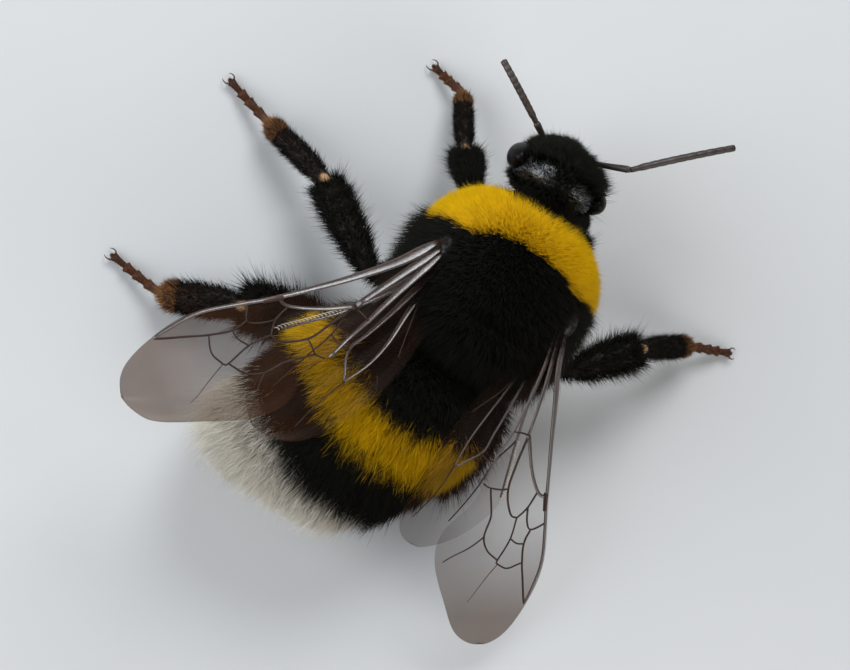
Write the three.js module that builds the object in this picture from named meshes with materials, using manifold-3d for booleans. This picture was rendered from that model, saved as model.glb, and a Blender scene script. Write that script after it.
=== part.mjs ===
// A queen bumblebee at life size, standing on a flat floor.
// Millimetres, +Z up. The bee faces -Y, so its left side is +X.
//
// Body solids run out to the tips of the coat. Neighbours are parted by thin cuts,
// so that they meet face to face with a small gap and never overlap.
import * as THREE from "three";
import { mergeVertices } from "three/addons/utils/BufferGeometryUtils.js";
import Module from "manifold-3d";

const wasm = await Module();
wasm.setup();

// ---------------------------------------------------------------- driving dimensions
const GAP = 0.1; // air between solids that meet
const WING_THICKNESS = 0.5;

const THORAX = { center: [0, 0, 5.7], half: [4.8, 4.65, 3.95], squareness: 2.4 };
const HEAD = { center: [0.05, -5.95, 5.05], half: [2.35, 2.0, 2.85], lean: -0.22 };
const NECK_CUT = { point: [0, -4.35, 5.5], normal: [0, -1, 0.12] };

const ABDOMEN = {
  waist: [0.6, 3.7, 4.6], // where its axis starts, inside the thorax's rear
  length: 11.1,
  halfWidth: 5.1,
  halfHeight: 3.75,
  widest: 0.36, // share of the length where it is widest
  turnLeft: THREE.MathUtils.degToRad(10),
  droop: THREE.MathUtils.degToRad(12),
  drift: { left: 0.3, up: 0.13 }, // how its middle line bends away from the axis
};
const WAIST_CUT = { point: [0.5, 4.3, 5.0], normal: [0.12, 1, -0.1] };
// distances along the abdomen's axis where one plate's coat gives way to the next
const PLATE_ENDS = { first: 2.2, second: 4.7, third: 7.9, fifth: 10.2 };

const FOREWING_LENGTH = 16.2;
const HINDWING_LENGTH = 11.0;

// Joints of each leg: hip, knee, heel, end of the long first tarsus piece, claws.
const FLOOR_Z = 0.15; // height of a toe's middle: less than its radius, so its sole is cut flat
const LEGS = {
  front_left: {
    joints: [[1.6, -2.6, 2.4], [2.6, -3.7, 3.0], [3.86, -5.49, 2.1], [5.11, -8.0, 0.95], [6.95, -8.53, FLOOR_Z]],
    size: 0.85,
  },
  front_right: {
    joints: [[-1.0, -1.2, 1.8], [-2.9, -3.0, 1.95], [-3.0, -5.1, 1.45], [-2.4, -6.5, 0.8], [-1.4, -7.7, FLOOR_Z]],
    size: 0.85,
  },
  middle_left: {
    joints: [[2.4, 0.6, 2.1], [4.9, 2.0, 3.35], [8.86, -0.81, 2.2], [12.32, -1.91, 0.95], [14.96, -2.85, FLOOR_Z]],
    size: 1,
  },
  middle_right: {
    joints: [[-2.6, 0.4, 1.9], [-5.1, 1.3, 4.3], [-7.94, -1.66, 3.3], [-10.46, -3.4, 1.15], [-12.8, -4.38, FLOOR_Z]],
    size: 1,
  },
  hind_left: {
    joints: [[1.8, 2.2, 1.8], [5.2, 4.7, 1.8], [9.15, 6.19, 1.75], [12.55, 7.54, 0.9], [15.53, 7.04, FLOOR_Z]],
    size: 1.15,
  },
  hind_right: {
    joints: [[-1.3, 2.0, 1.7], [-4.1, 4.6, 1.7], [-2.6, 8.7, 1.15], [0.0, 11.2, 0.7], [2.3, 12.3, FLOOR_Z]],
    size: 1.15,
  },
};

// ---------------------------------------------------------------- colours
function paint(color, roughness) {
  return new THREE.MeshStandardMaterial({ color, roughness, metalness: 0 });
}

const PAINT = {
  blackCoat: () => paint(0x15130f, 0.95),
  yellowCoat: () => paint(0xe0b413, 0.95),
  whiteCoat: () => paint(0xe6e2d6, 0.95),
  shell: () => paint(0x1b120d, 0.35),
  eye: () => paint(0x0d0a09, 0.15),
  leg: () => paint(0x241811, 0.6),
  tarsus: () => paint(0x6a3a1d, 0.5),
  wing: () => paint(0x8a7565, 0.4),
};

// ---------------------------------------------------------------- small helpers
const bee = new THREE.Group();

function addPiece(name, geometry, material, place = {}) {
  const mesh = new THREE.Mesh(geometry, material);
  mesh.name = name;
  if (place.position) mesh.position.copy(place.position);
  if (place.quaternion) mesh.quaternion.copy(place.quaternion);
  bee.add(mesh);
  mesh.updateMatrixWorld(true);
  return mesh;
}

function solidOf(geometry, matrix = new THREE.Matrix4()) {
  const bare = geometry.clone().applyMatrix4(matrix);
  bare.deleteAttribute("normal");
  bare.deleteAttribute("uv");
  const merged = mergeVertices(bare, 1e-4);
  const corners = [];
  for (let i = 0; i < merged.index.count; i += 3) {
    const [a, b, c] = [0, 1, 2].map((k) => merged.index.getX(i + k));
    if (a !== b && b !== c && c !== a) corners.push(a, b, c);
  }
  const mesh = new wasm.Mesh({
    numProp: 3,
    vertProperties: new Float32Array(merged.attributes.position.array),
    triVerts: new Uint32Array(corners),
  });
  return new wasm.Manifold(mesh);
}

function geometryOf(solid) {
  const mesh = solid.getMesh();
  const geometry = new THREE.BufferGeometry();
  geometry.setAttribute("position", new THREE.BufferAttribute(mesh.vertProperties, 3));
  geometry.setIndex(new THREE.BufferAttribute(mesh.triVerts, 1));
  geometry.computeVertexNormals();
  return geometry;
}

// Keeps the part of a solid that lies on the side the cut's normal points to,
// starting half a gap away from the cut.
function keepSide(solid, cut, sign) {
  const normal = new THREE.Vector3(...cut.normal).normalize().multiplyScalar(sign);
  const offset = normal.dot(new THREE.Vector3(...cut.point)) + GAP / 2;
  return solid.trimByPlane(normal.toArray(), offset);
}

// Swaps a mesh's geometry for the same shape with the given world-space solids taken away.
function carve(mesh, ...tools) {
  let solid = solidOf(mesh.geometry, mesh.matrixWorld);
  for (const tool of tools) solid = solid.subtract(tool);
  const pieces = solid.decompose().sort((a, b) => b.volume() - a.volume());
  if (!pieces.length) throw new Error(`${mesh.name} lies inside what it is cut by`);
  const back = mesh.matrixWorld.clone().invert();
  mesh.geometry = geometryOf(pieces[0]).applyMatrix4(back);
}

function ellipsoid(half, columns, rows) {
  return new THREE.SphereGeometry(1, columns, rows).rotateX(Math.PI / 2).scale(...half);
}

// An ellipsoid pushed out toward its box: squareness 2 is round, more is squarer.
function fullEllipsoid(half, squareness, columns, rows) {
  const geometry = ellipsoid([1, 1, 1], columns, rows);
  const spots = geometry.attributes.position;
  for (let i = 0; i < spots.count; i += 1) {
    const spot = new THREE.Vector3().fromBufferAttribute(spots, i);
    const parts = spot.toArray().map((value) => Math.pow(Math.abs(value), squareness));
    spot.multiplyScalar(Math.pow(parts[0] + parts[1] + parts[2], -1 / squareness));
    spots.setXYZ(i, spot.x * half[0], spot.y * half[1], spot.z * half[2]);
  }
  return geometry;
}

function placed(center, euler = [0, 0, 0]) {
  return {
    position: new THREE.Vector3(...center),
    quaternion: new THREE.Quaternion().setFromEuler(new THREE.Euler(...euler)),
  };
}

function matrixOf(place) {
  return new THREE.Matrix4().compose(place.position, place.quaternion, new THREE.Vector3(1, 1, 1));
}

// ---------------------------------------------------------------- thorax and head
const thoraxPlace = placed(THORAX.center);
function thoraxSolid(extra) {
  const half = THORAX.half.map((h) => h + extra);
  return solidOf(fullEllipsoid(half, THORAX.squareness, 28, 18), matrixOf(thoraxPlace));
}
const thoraxShape = thoraxSolid(0);
const thoraxRoom = thoraxSolid(GAP);
const thorax = keepSide(keepSide(thoraxShape, NECK_CUT, -1), WAIST_CUT, -1);
addPiece("thorax", geometryOf(thorax), PAINT.blackCoat());

const headPlace = placed(HEAD.center, [HEAD.lean, 0, 0]);
const headShape = solidOf(ellipsoid(HEAD.half, 22, 14), matrixOf(headPlace));
const head = addPiece("head", geometryOf(keepSide(headShape, NECK_CUT, 1)), PAINT.shell());

// A local frame on the head: x to the bee's left, y backward, z up along the face.
function onHead(x, y, z) {
  return new THREE.Vector3(x, y, z).applyMatrix4(matrixOf(headPlace));
}

const EYE = { half: [0.62, 0.78, 1.45], side: 1.97, forward: -0.25, up: 0.35, tilt: 0.14 };
const eyeRooms = [];
for (const [side, sign] of [["left", 1], ["right", -1]]) {
  const turn = new THREE.Quaternion().setFromEuler(new THREE.Euler(HEAD.lean, sign * EYE.tilt, 0));
  const place = { position: onHead(sign * EYE.side, EYE.forward, EYE.up), quaternion: turn };
  addPiece(`eye_${side}`, ellipsoid(EYE.half, 14, 10), PAINT.eye(), place);
  eyeRooms.push(solidOf(ellipsoid(EYE.half.map((h) => h + GAP), 14, 10), matrixOf(place)));
}

// Mandibles: short blunt blades that close below the face.
const MANDIBLE = { half: [0.42, 0.34, 0.95], side: 0.62, forward: -0.45, up: -2.85, splay: 0.42 };
const mandibles = [];
for (const [side, sign] of [["left", 1], ["right", -1]]) {
  const turn = new THREE.Quaternion().setFromEuler(new THREE.Euler(0.1, sign * MANDIBLE.splay, 0));
  const place = { position: onHead(sign * MANDIBLE.side, MANDIBLE.forward, MANDIBLE.up), quaternion: turn };
  mandibles.push(addPiece(`mandible_${side}`, ellipsoid(MANDIBLE.half, 10, 8), PAINT.tarsus(), place));
}

// ---------------------------------------------------------------- abdomen
// Its outline is two quarter arcs that meet at the widest place: the shoulder behind
// the waist and the longer, blunter run to the tail. Each point is [share, radius].
function abdomenOutline() {
  const arc = (steps, fullness) => Array.from({ length: steps + 1 }, (_, i) => {
    const angle = (Math.PI / 2) * (i / steps);
    return [Math.pow(Math.cos(angle), 2 / fullness), Math.pow(Math.sin(angle), 2 / fullness)];
  });
  const shoulder = arc(6, 2.2).map(([back, radius]) => [ABDOMEN.widest * (1 - back), radius]);
  const tail = arc(11, 2.6).map(([back, radius]) => [ABDOMEN.widest + (1 - ABDOMEN.widest) * back, radius]);
  return [...shoulder, ...tail.reverse().slice(1)];
}

// The middle line leaves the axis gently, then runs off at a steady slope.
function abdomenDrift(distance) {
  return (distance * distance) / (Math.abs(distance) + 3);
}

const abdomenPlace = {
  position: new THREE.Vector3(...ABDOMEN.waist),
  quaternion: new THREE.Quaternion().setFromUnitVectors(
    new THREE.Vector3(0, 1, 0),
    new THREE.Vector3(
      Math.sin(ABDOMEN.turnLeft) * Math.cos(ABDOMEN.droop),
      Math.cos(ABDOMEN.turnLeft) * Math.cos(ABDOMEN.droop),
      -Math.sin(ABDOMEN.droop),
    ),
  ),
};

function abdomenShape(extra) {
  const profile = abdomenOutline().map(([share, radius]) => new THREE.Vector2(radius, share * ABDOMEN.length));
  profile[0].x = 0;
  profile[profile.length - 1].x = 0;
  const geometry = new THREE.LatheGeometry(profile, 28);
  geometry.scale(ABDOMEN.halfWidth + extra, 1 + extra / ABDOMEN.length, ABDOMEN.halfHeight + extra);
  const spots = geometry.attributes.position;
  for (let i = 0; i < spots.count; i += 1) {
    const bend = abdomenDrift(spots.getY(i));
    spots.setX(i, spots.getX(i) + ABDOMEN.drift.left * bend);
    spots.setZ(i, spots.getZ(i) + ABDOMEN.drift.up * bend);
  }
  return solidOf(geometry, matrixOf(abdomenPlace));
}

function plateCut(distance) {
  const axis = new THREE.Vector3(0, 1, 0).applyQuaternion(abdomenPlace.quaternion);
  const point = axis.clone().multiplyScalar(distance).add(abdomenPlace.position);
  return { point: point.toArray(), normal: axis.toArray() };
}

const abdomen = abdomenShape(0);
const abdomenPlates = [];
const plates = [
  ["abdomen_plate_1", WAIST_CUT, plateCut(PLATE_ENDS.first), PAINT.blackCoat],
  ["abdomen_plate_2", plateCut(PLATE_ENDS.first), plateCut(PLATE_ENDS.second), PAINT.yellowCoat],
  ["abdomen_plate_3", plateCut(PLATE_ENDS.second), plateCut(PLATE_ENDS.third), PAINT.blackCoat],
  ["abdomen_plates_4_5", plateCut(PLATE_ENDS.third), plateCut(PLATE_ENDS.fifth), PAINT.whiteCoat],
  ["abdomen_tip", plateCut(PLATE_ENDS.fifth), null, PAINT.shell],
];
for (const [name, startCut, endCut, coat] of plates) {
  let plate = keepSide(abdomen, startCut, 1);
  if (endCut) plate = keepSide(plate, endCut, -1);
  abdomenPlates.push(addPiece(name, geometryOf(plate), coat()));
}
const bodyRoom = thoraxRoom.add(abdomenShape(GAP));

// ---------------------------------------------------------------- limbs
// A tapering round rod along +Z from z = 0 to z = length, with rounded ends.
// The profile gives [share of length, radius] pairs between the two ends.
function rod(length, profile, sides) {
  const points = [new THREE.Vector2(0, 0)];
  for (const [share, radius] of profile) points.push(new THREE.Vector2(radius, share * length));
  points.push(new THREE.Vector2(0, length));
  return new THREE.LatheGeometry(points, sides).rotateX(Math.PI / 2);
}

// Turns +Z along a direction, with local X kept level so that a flat limb lies flat.
function along(start, end) {
  const z = end.clone().sub(start).normalize();
  const x = new THREE.Vector3(0, 0, 1).cross(z).normalize();
  const y = z.clone().cross(x);
  return {
    position: start,
    quaternion: new THREE.Quaternion().setFromRotationMatrix(new THREE.Matrix4().makeBasis(x, y, z)),
  };
}

// The plane that halves the bend at a joint, so that two segments meet there face to face.
function jointCut(before, joint, after) {
  const normal = joint.clone().sub(before).normalize().add(after.clone().sub(joint).normalize());
  return { point: joint.toArray(), normal: normal.normalize().toArray() };
}

const OVERRUN = 0.12; // how far a limb's rod runs past its joints before they are cut
const FLOOR_CUT = { point: [0, 0, -GAP / 2], normal: [0, 0, 1] };

function limbPiece(name, start, end, shape, cuts, material) {
  const place = along(start, end);
  const length = start.distanceTo(end);
  const { profile, width = 1, sides = 10 } = shape;
  const geometry = rod(length + 2 * OVERRUN, profile, sides);
  geometry.translate(0, 0, -OVERRUN).scale(width, 1, 1);
  let solid = solidOf(geometry, matrixOf(place));
  for (const [cut, sign] of cuts) solid = keepSide(solid, cut, sign);
  const local = geometryOf(solid).applyMatrix4(matrixOf(place).invert());
  return addPiece(name, local, material, place);
}

const THIGH = [[0.02, 0.3], [0.3, 0.62], [0.62, 0.6], [0.98, 0.32]];
const SHIN = [[0.02, 0.34], [0.25, 0.62], [0.6, 0.86], [0.9, 0.8], [0.985, 0.45]];
const HEEL = [[0.02, 0.4], [0.25, 0.6], [0.7, 0.56], [0.985, 0.34]];
const TOE = [[0.02, 0.26], [0.5, 0.27], [0.82, 0.25], [0.97, 0.29]];

for (const [leg, { joints, size }] of Object.entries(LEGS)) {
  const [hip, knee, ankle, heelEnd, claws] = joints.map((p) => new THREE.Vector3(...p));
  const kneeCut = jointCut(hip, knee, ankle);
  const ankleCut = jointCut(knee, ankle, heelEnd);
  const heelCut = jointCut(ankle, heelEnd, claws);
  const scaled = (profile) => profile.map(([share, radius]) => [share, radius * size]);
  const hind = leg.startsWith("hind");
  const thigh = limbPiece(`leg_${leg}_femur`, hip, knee, { profile: scaled(THIGH) },
    [[kneeCut, -1]], PAINT.leg());
  const shin = limbPiece(`leg_${leg}_tibia`, knee, ankle, { profile: scaled(SHIN), width: hind ? 1.1 : 1 },
    [[kneeCut, 1], [ankleCut, -1]], PAINT.leg());
  limbPiece(`leg_${leg}_basitarsus`, ankle, heelEnd, { profile: scaled(HEEL), width: hind ? 1.15 : 1 },
    [[ankleCut, 1], [heelCut, -1], [FLOOR_CUT, 1]], PAINT.leg());
  limbPiece(`leg_${leg}_tarsus`, heelEnd, claws, { profile: TOE, sides: 8 },
    [[heelCut, 1], [FLOOR_CUT, 1]], PAINT.tarsus());
  carve(thigh, bodyRoom);
  carve(shin, bodyRoom);
}

// ---------------------------------------------------------------- antennae
const ANTENNAE = {
  left: { socket: [1.19, -6.94, 5.8], elbow: [2.4, -7.36, 6.8], bend: [3.8, -8.0, 7.5], tip: [5.19, -8.88, 7.2] },
  right: { socket: [-0.9, -7.3, 5.8], elbow: [-2.43, -7.74, 7.2], bend: [-4.1, -9.4, 7.5], tip: [-6.29, -11.37, 6.6] },
};
const ANTENNA_RADIUS = 0.27;
const antennaRooms = [];
for (const [side, { socket, elbow, bend, tip }] of Object.entries(ANTENNAE)) {
  const [a, b, m, c] = [socket, elbow, bend, tip].map((p) => new THREE.Vector3(...p));
  const whip = new THREE.QuadraticBezierCurve3(b, m, c);
  const elbowCut = jointCut(a, b, b.clone().add(whip.getTangentAt(0)));
  const scape = limbPiece(`antenna_${side}_scape`, a, b,
    { profile: [[0.03, ANTENNA_RADIUS], [0.95, ANTENNA_RADIUS]], sides: 8 }, [[elbowCut, -1]], PAINT.leg());
  antennaRooms.push(solidOf(scape.geometry, scape.matrixWorld));

  const ring = new THREE.Shape().absarc(0, 0, ANTENNA_RADIUS, 0, 2 * Math.PI);
  const tube = new THREE.ExtrudeGeometry(ring, { extrudePath: whip, steps: 10, curveSegments: 4 });
  addPiece(`antenna_${side}_flagellum`, geometryOf(keepSide(solidOf(tube), elbowCut, 1)), PAINT.leg());
}

carve(head, ...eyeRooms, ...antennaRooms);
const headRoom = solidOf(head.geometry, head.matrixWorld);
for (const mandible of mandibles) carve(mandible, headRoom);

// ---------------------------------------------------------------- wings
// Outlines in shares of the wing's length: x runs from root to tip, y toward the
// leading edge. Both are drawn for a left wing and mirrored for the right one.
const FOREWING_OUTLINE = [
  [0, 0.03], [0.28, 0.03], [0.5, 0.062], [0.72, 0.108], [0.86, 0.092], [0.97, 0.045], [1, -0.03],
  [0.95, -0.118], [0.84, -0.19], [0.7, -0.262], [0.6, -0.262], [0.49, -0.178], [0.3, -0.15], [0, -0.03],
];
const HINDWING_OUTLINE = [
  [0, 0.03], [0.3, 0.07], [0.62, 0.13], [0.85, 0.12], [0.97, 0.05], [1, -0.05],
  [0.92, -0.16], [0.72, -0.235], [0.48, -0.255], [0.25, -0.2], [0.1, -0.11], [0, -0.03],
];

// A plate in the wing's frame, arched upward (-z) between root and tip by arch.
function wingPlate(outline, length, arch, thickness) {
  const shape = new THREE.Shape();
  shape.moveTo(outline[0].x, outline[0].y);
  shape.splineThru(outline.slice(1));
  shape.closePath();
  const options = { depth: thickness, bevelEnabled: false, curveSegments: 3 };
  const plate = new THREE.ExtrudeGeometry(shape, options).translate(0, 0, -thickness / 2);
  const spots = plate.attributes.position;
  for (let i = 0; i < spots.count; i += 1) {
    const share = spots.getX(i) / length;
    spots.setZ(i, spots.getZ(i) - 4 * arch * share * (1 - share));
  }
  return plate;
}

// Tegulae: the small shiny caps over the roots of the wings.
const TEGULA = { half: [0.75, 0.95, 0.5], side: 3.85, back: -0.1, up: 8.25 };
const tegulaRooms = [];
for (const [side, sign] of [["left", 1], ["right", -1]]) {
  const place = placed([THORAX.center[0] + sign * TEGULA.side, TEGULA.back, TEGULA.up], [0, sign * 0.7, 0]);
  const tegula = addPiece(`tegula_${side}`, ellipsoid(TEGULA.half, 14, 10), PAINT.shell(), place);
  carve(tegula, thoraxRoom);
  tegulaRooms.push(solidOf(ellipsoid(TEGULA.half.map((h) => h + GAP), 14, 10), matrixOf(place)));
}

// A wing's frame: x from root to tip, y across the wing, z out of its face.
// The dip turns the leading edge down about the line from root to tip.
function wingPlace(side, root, tip, dip) {
  const start = new THREE.Vector3(...root);
  const x = new THREE.Vector3(...tip).sub(start).normalize();
  const y = x.clone().cross(new THREE.Vector3(0, 0, 1)).normalize();
  y.applyAxisAngle(x, (side === "left" ? 1 : -1) * dip);
  const basis = new THREE.Matrix4().makeBasis(x, y, x.clone().cross(y));
  return { position: start, quaternion: new THREE.Quaternion().setFromRotationMatrix(basis) };
}

const WINGS = {
  forewing_left: { root: [3.1, 0.1, 8.1], tip: [12.85, 13.0, 10.2], dip: 0.05, arch: 0.2 },
  hindwing_left: { root: [3.0, 1.1, 7.3], tip: [6.5, 11.35, 9.0], dip: 0.1, arch: 0.2 },
  forewing_right: { root: [-3.0, 0.3, 8.2], tip: [-8.85, 14.0, 1.3], dip: 0.35, arch: 0.8 },
  hindwing_right: { root: [-2.9, 1.3, 7.3], tip: [-3.5, 11.2, 3.6], dip: 0.5, arch: 0.7 },
};
const wingRooms = [];
for (const [name, { root, tip, dip, arch }] of Object.entries(WINGS)) {
  const [outline, length] = name.startsWith("fore")
    ? [FOREWING_OUTLINE, FOREWING_LENGTH]
    : [HINDWING_OUTLINE, HINDWING_LENGTH];
  const side = name.split("_")[1];
  const leading = side === "left" ? 1 : -1;
  const points = outline.map(([x, y]) => new THREE.Vector2(x * length, y * length * leading));
  if (side === "right") points.reverse();
  const place = wingPlace(side, root, tip, dip);
  const wing = addPiece(name, wingPlate(points, length, arch, WING_THICKNESS), PAINT.wing(), place);
  carve(wing, thoraxRoom, ...tegulaRooms);
  wingRooms.push(solidOf(wingPlate(points, length, arch, WING_THICKNESS + 2 * GAP), matrixOf(place)));
}
// Where a wing lies on the abdomen it presses the coat down.
for (const plate of abdomenPlates) carve(plate, ...wingRooms);

// The origin is under the middle of the whole bee, at floor level.
const box = new THREE.Box3().setFromObject(bee, true);
const middle = box.getCenter(new THREE.Vector3());
bee.position.set(-middle.x, -middle.y, 0);

export default bee;
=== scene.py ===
# %% [markdown]
# # A queen bumblebee at life size
# The bee stands on a flat floor, as a still model for a museum shelf.
# We work in millimetres on the bee's own axes: it faces -Y, its left is +X and up is +Z.
# Each finished mesh is turned into metres and moved into the shared frame at the very end
# of its making, so that every object sits at the origin, unturned and unscaled.

# %% Load the frame
import math

import bmesh
import bpy
import numpy as np
from mathutils import Euler, Matrix, Vector
from mathutils.kdtree import KDTree


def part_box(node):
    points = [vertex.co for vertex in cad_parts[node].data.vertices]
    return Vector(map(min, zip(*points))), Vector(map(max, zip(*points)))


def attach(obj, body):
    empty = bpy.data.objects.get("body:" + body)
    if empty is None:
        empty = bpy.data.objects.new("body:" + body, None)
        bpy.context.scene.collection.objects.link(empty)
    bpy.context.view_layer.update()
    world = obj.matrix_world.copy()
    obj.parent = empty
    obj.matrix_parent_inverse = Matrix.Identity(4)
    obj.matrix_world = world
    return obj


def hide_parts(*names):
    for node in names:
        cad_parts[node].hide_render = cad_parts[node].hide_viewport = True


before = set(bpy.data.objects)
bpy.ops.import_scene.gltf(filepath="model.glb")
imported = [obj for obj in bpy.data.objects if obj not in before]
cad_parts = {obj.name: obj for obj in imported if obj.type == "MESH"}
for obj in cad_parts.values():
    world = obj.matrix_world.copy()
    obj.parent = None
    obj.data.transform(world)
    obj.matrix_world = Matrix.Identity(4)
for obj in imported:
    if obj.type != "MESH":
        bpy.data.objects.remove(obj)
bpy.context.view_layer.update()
scene = bpy.context.scene
print("CAD nodes:", len(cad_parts))

# %% [markdown]
# ## Where the bee stands
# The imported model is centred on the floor, while the bee is drawn around its thorax.
# The thorax and the left eye are each as wide on one side as on the other, so the
# middle of their boxes tells how far the whole bee was moved.

# %% From the bee's axes to the shared frame
MM = 0.001
EYE_MIDDLE_Y = -6.118  # of both eyes, on the bee's axes


def box_middle(node, axis):
    low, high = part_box(node)
    return (low[axis] + high[axis]) / 2 / MM


SHIFT = Vector((box_middle("thorax", 0), box_middle("eye_left", 1) - EYE_MIDDLE_Y, 0))
TO_ROW = Matrix.Scale(MM, 4) @ Matrix.Translation(SHIFT)
print("shift in mm:", [round(value, 3) for value in SHIFT])

# %% [markdown]
# ## Camera
# The bee is seen almost from straight above, a little from its left and its rear,
# through a long lens, so its parts keep their proportions. The three directions below
# are the camera's own right, up and back, which turn its view in one step. They could
# also come from a Track To constraint, but that can't give the roll of a held camera.

# %% Place the camera
def placed(name, data):
    """A new object in the scene."""
    thing = bpy.data.objects.new(name, data)
    scene.collection.objects.link(thing)
    return thing


VIEW_RIGHT = Vector((-0.84097, -0.49528, 0.21789))
VIEW_UP = Vector((0.51302, -0.85785, 0.03010))
VIEW_BACK = Vector((0.17201, 0.13710, 0.97551))
VIEW_SPOT = Vector((23.95, 21.15, 131.72))

camera_data = bpy.data.cameras.new("camera")
camera_data.lens = 121.13
camera_data.sensor_width = 36
camera_data.clip_start = 0.005
camera_data.clip_end = 10
camera = placed("camera", camera_data)
turn = Matrix((VIEW_RIGHT, VIEW_UP, VIEW_BACK)).transposed().to_4x4()
camera.matrix_world = Matrix.Translation((VIEW_SPOT + SHIFT) * MM) @ turn
scene.camera = camera
scene.view_settings.view_transform = "Standard"
print("camera height in mm:", round(camera.matrix_world.translation.z / MM, 1))

# %% [markdown]
# ## Small tools
# A mesh starts as a bmesh. `finish_piece` smooths its shading, moves it into the frame,
# gives it a material and hides the CAD nodes it stands for.

# %% Finish a piece
def finish_piece(name, mesh, material, slot, nodes=()):
    mesh.name = name
    mesh.transform(TO_ROW)
    mesh.shade_smooth()
    mesh.materials.append(material)
    piece = placed(name, mesh)
    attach(piece, "root")
    if nodes:
        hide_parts(*nodes)
    return piece


def mesh_of(bm):
    """A plain mesh from a bmesh: doubles merged, faces turned outward."""
    bmesh.ops.remove_doubles(bm, verts=bm.verts, dist=1e-5)
    bmesh.ops.recalc_face_normals(bm, faces=bm.faces)
    mesh = bpy.data.meshes.new("shape")
    bm.to_mesh(mesh)
    bm.free()
    return mesh


# %% [markdown]
# ### Tubes, paths and balls
# Veins, feelers, claws and legs are long round things, and eyes, caps and jaws are rounded
# lumps. A curve with a bevel would make a tube too, but its ends and its changes of
# thickness are harder to steer. So a tube is a row of rings bridged one to the next, and
# a lump is a sphere whose corners are moved one by one.

# %% Draw tubes, paths and balls
def ring_frame(along, level):
    across = level.cross(along).normalized()
    return Matrix((across, along.cross(across), along)).transposed().to_4x4()


def tube(bm, points, radii, sides=12, flat=1.0, level=(0, 0, 1)):
    """Rings bridged one to the next and closed at both ends. flat widens each ring sideways."""
    spots = [Vector(point) for point in points]
    last = len(spots) - 1
    rings = []
    for i, spot in enumerate(spots):
        along = (spots[min(i + 1, last)] - spots[max(i - 1, 0)]).normalized()
        wide = flat[i] if isinstance(flat, (list, np.ndarray)) else flat
        place = Matrix.Translation(spot) @ ring_frame(along, Vector(level))
        place = place @ Matrix.Diagonal((radii[i] * wide, radii[i], 1, 1))
        made = bmesh.ops.create_circle(bm, radius=1, segments=sides, matrix=place)
        rings.append(list(dict.fromkeys(edge for vert in made["verts"] for edge in vert.link_edges)))
    for ring, after in zip(rings, rings[1:]):
        bmesh.ops.bridge_loops(bm, edges=ring + after)
    for ring in (rings[0], rings[-1]):
        bmesh.ops.contextual_create(bm, geom=ring)


def smooth_path(points, steps, beyond=None):
    """A curve through a few points. beyond is where it would go on after its end."""
    knots = np.array(points, float)
    after = 2 * knots[-1] - knots[-2] if beyond is None else beyond
    padded = np.vstack([2 * knots[0] - knots[1], knots, after])
    place = np.linspace(0, len(knots) - 1, steps + 1)
    i = np.minimum(place.astype(int), len(knots) - 2)
    t = (place - i)[:, None]
    a, b, c, d = (padded[i + k] for k in range(4))
    return 0.5 * (2 * b + (c - a) * t + (2 * a - 5 * b + 4 * c - d) * t**2
                  + (3 * b - a - 3 * c + d) * t**3)


def along_path(path, share):
    """The place at a share of the way along a path of points."""
    step = share * (len(path) - 1)
    i = min(int(step), len(path) - 2)
    return path[i] * (1 - step + i) + path[i + 1] * (step - i)


def ball(bm, reshape, columns=64, rows=40):
    """A unit sphere whose every corner is moved by reshape."""
    made = bmesh.ops.create_uvsphere(bm, u_segments=columns, v_segments=rows, radius=1)
    for vert in made["verts"]:
        vert.co = reshape(vert.co)


# %% [markdown]
# ## Materials
# Each finish is a small node tree on Object coordinates, which are in metres here, so a
# noise scale of 8000 gives grains of about an eighth of a millimetre. The helpers below
# only save typing: `nodes_for` opens a tree, `link` joins two sockets, `speckle` makes
# soft patches, and `paint` joins the colour and the roughness to the shader.

# %% Material helpers
def nodes_for(name, gloss):
    material = bpy.data.materials.new(name)
    material.use_nodes = True
    tree = material.node_tree
    shader = tree.nodes["Principled BSDF"]
    shader.inputs["Specular IOR Level"].default_value = gloss
    return material, tree, shader


def link(tree, out, into):
    tree.links.new(out, into)


def grain(tree, scale, detail=3.0):
    """A noise on the piece's own place in the frame."""
    spot = tree.nodes.new("ShaderNodeTexCoord")
    noise = tree.nodes.new("ShaderNodeTexNoise")
    noise.inputs["Scale"].default_value = scale
    noise.inputs["Detail"].default_value = detail
    link(tree, spot.outputs["Object"], noise.inputs["Vector"])
    return noise.outputs["Fac"]


def ramp(tree, factor, *stops):
    """Colours or greys along a factor: each stop is (place, colour)."""
    node = tree.nodes.new("ShaderNodeValToRGB")
    link(tree, factor, node.inputs["Fac"])
    elements = node.color_ramp.elements
    while len(elements) < len(stops):
        elements.new(0.5)
    for element, (place, colour) in zip(elements, stops):
        element.position = place
        element.color = (*colour, 1) if isinstance(colour, tuple) else (colour, colour, colour, 1)
    return node.outputs["Color"]


def blend_colours(tree, factor, first, second, how="MIX"):
    node = tree.nodes.new("ShaderNodeMix")
    node.data_type = "RGBA"
    node.blend_type = how
    for value, socket in ((factor, 0), (first, 6), (second, 7)):
        if isinstance(value, bpy.types.NodeSocket):
            link(tree, value, node.inputs[socket])
        elif isinstance(value, tuple):
            node.inputs[socket].default_value = (*value, 1)
        else:
            node.inputs[socket].default_value = value
    return node.outputs[2]


def times(tree, first, second):
    return blend_colours(tree, 1.0, first, second, "MULTIPLY")


def speckle(tree, scale, low, high, detail=3.0):
    """Two greys or colours in soft patches."""
    return ramp(tree, grain(tree, scale, detail), (0.3, low), (0.7, high))


def paint(tree, shader, colour, rough):
    link(tree, colour, shader.inputs["Base Color"])
    link(tree, rough, shader.inputs["Roughness"])


def own_value(tree, name):
    """A value that is stored on the mesh's own points."""
    node = tree.nodes.new("ShaderNodeAttribute")
    node.attribute_name = name
    return node.outputs["Fac"]


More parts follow.
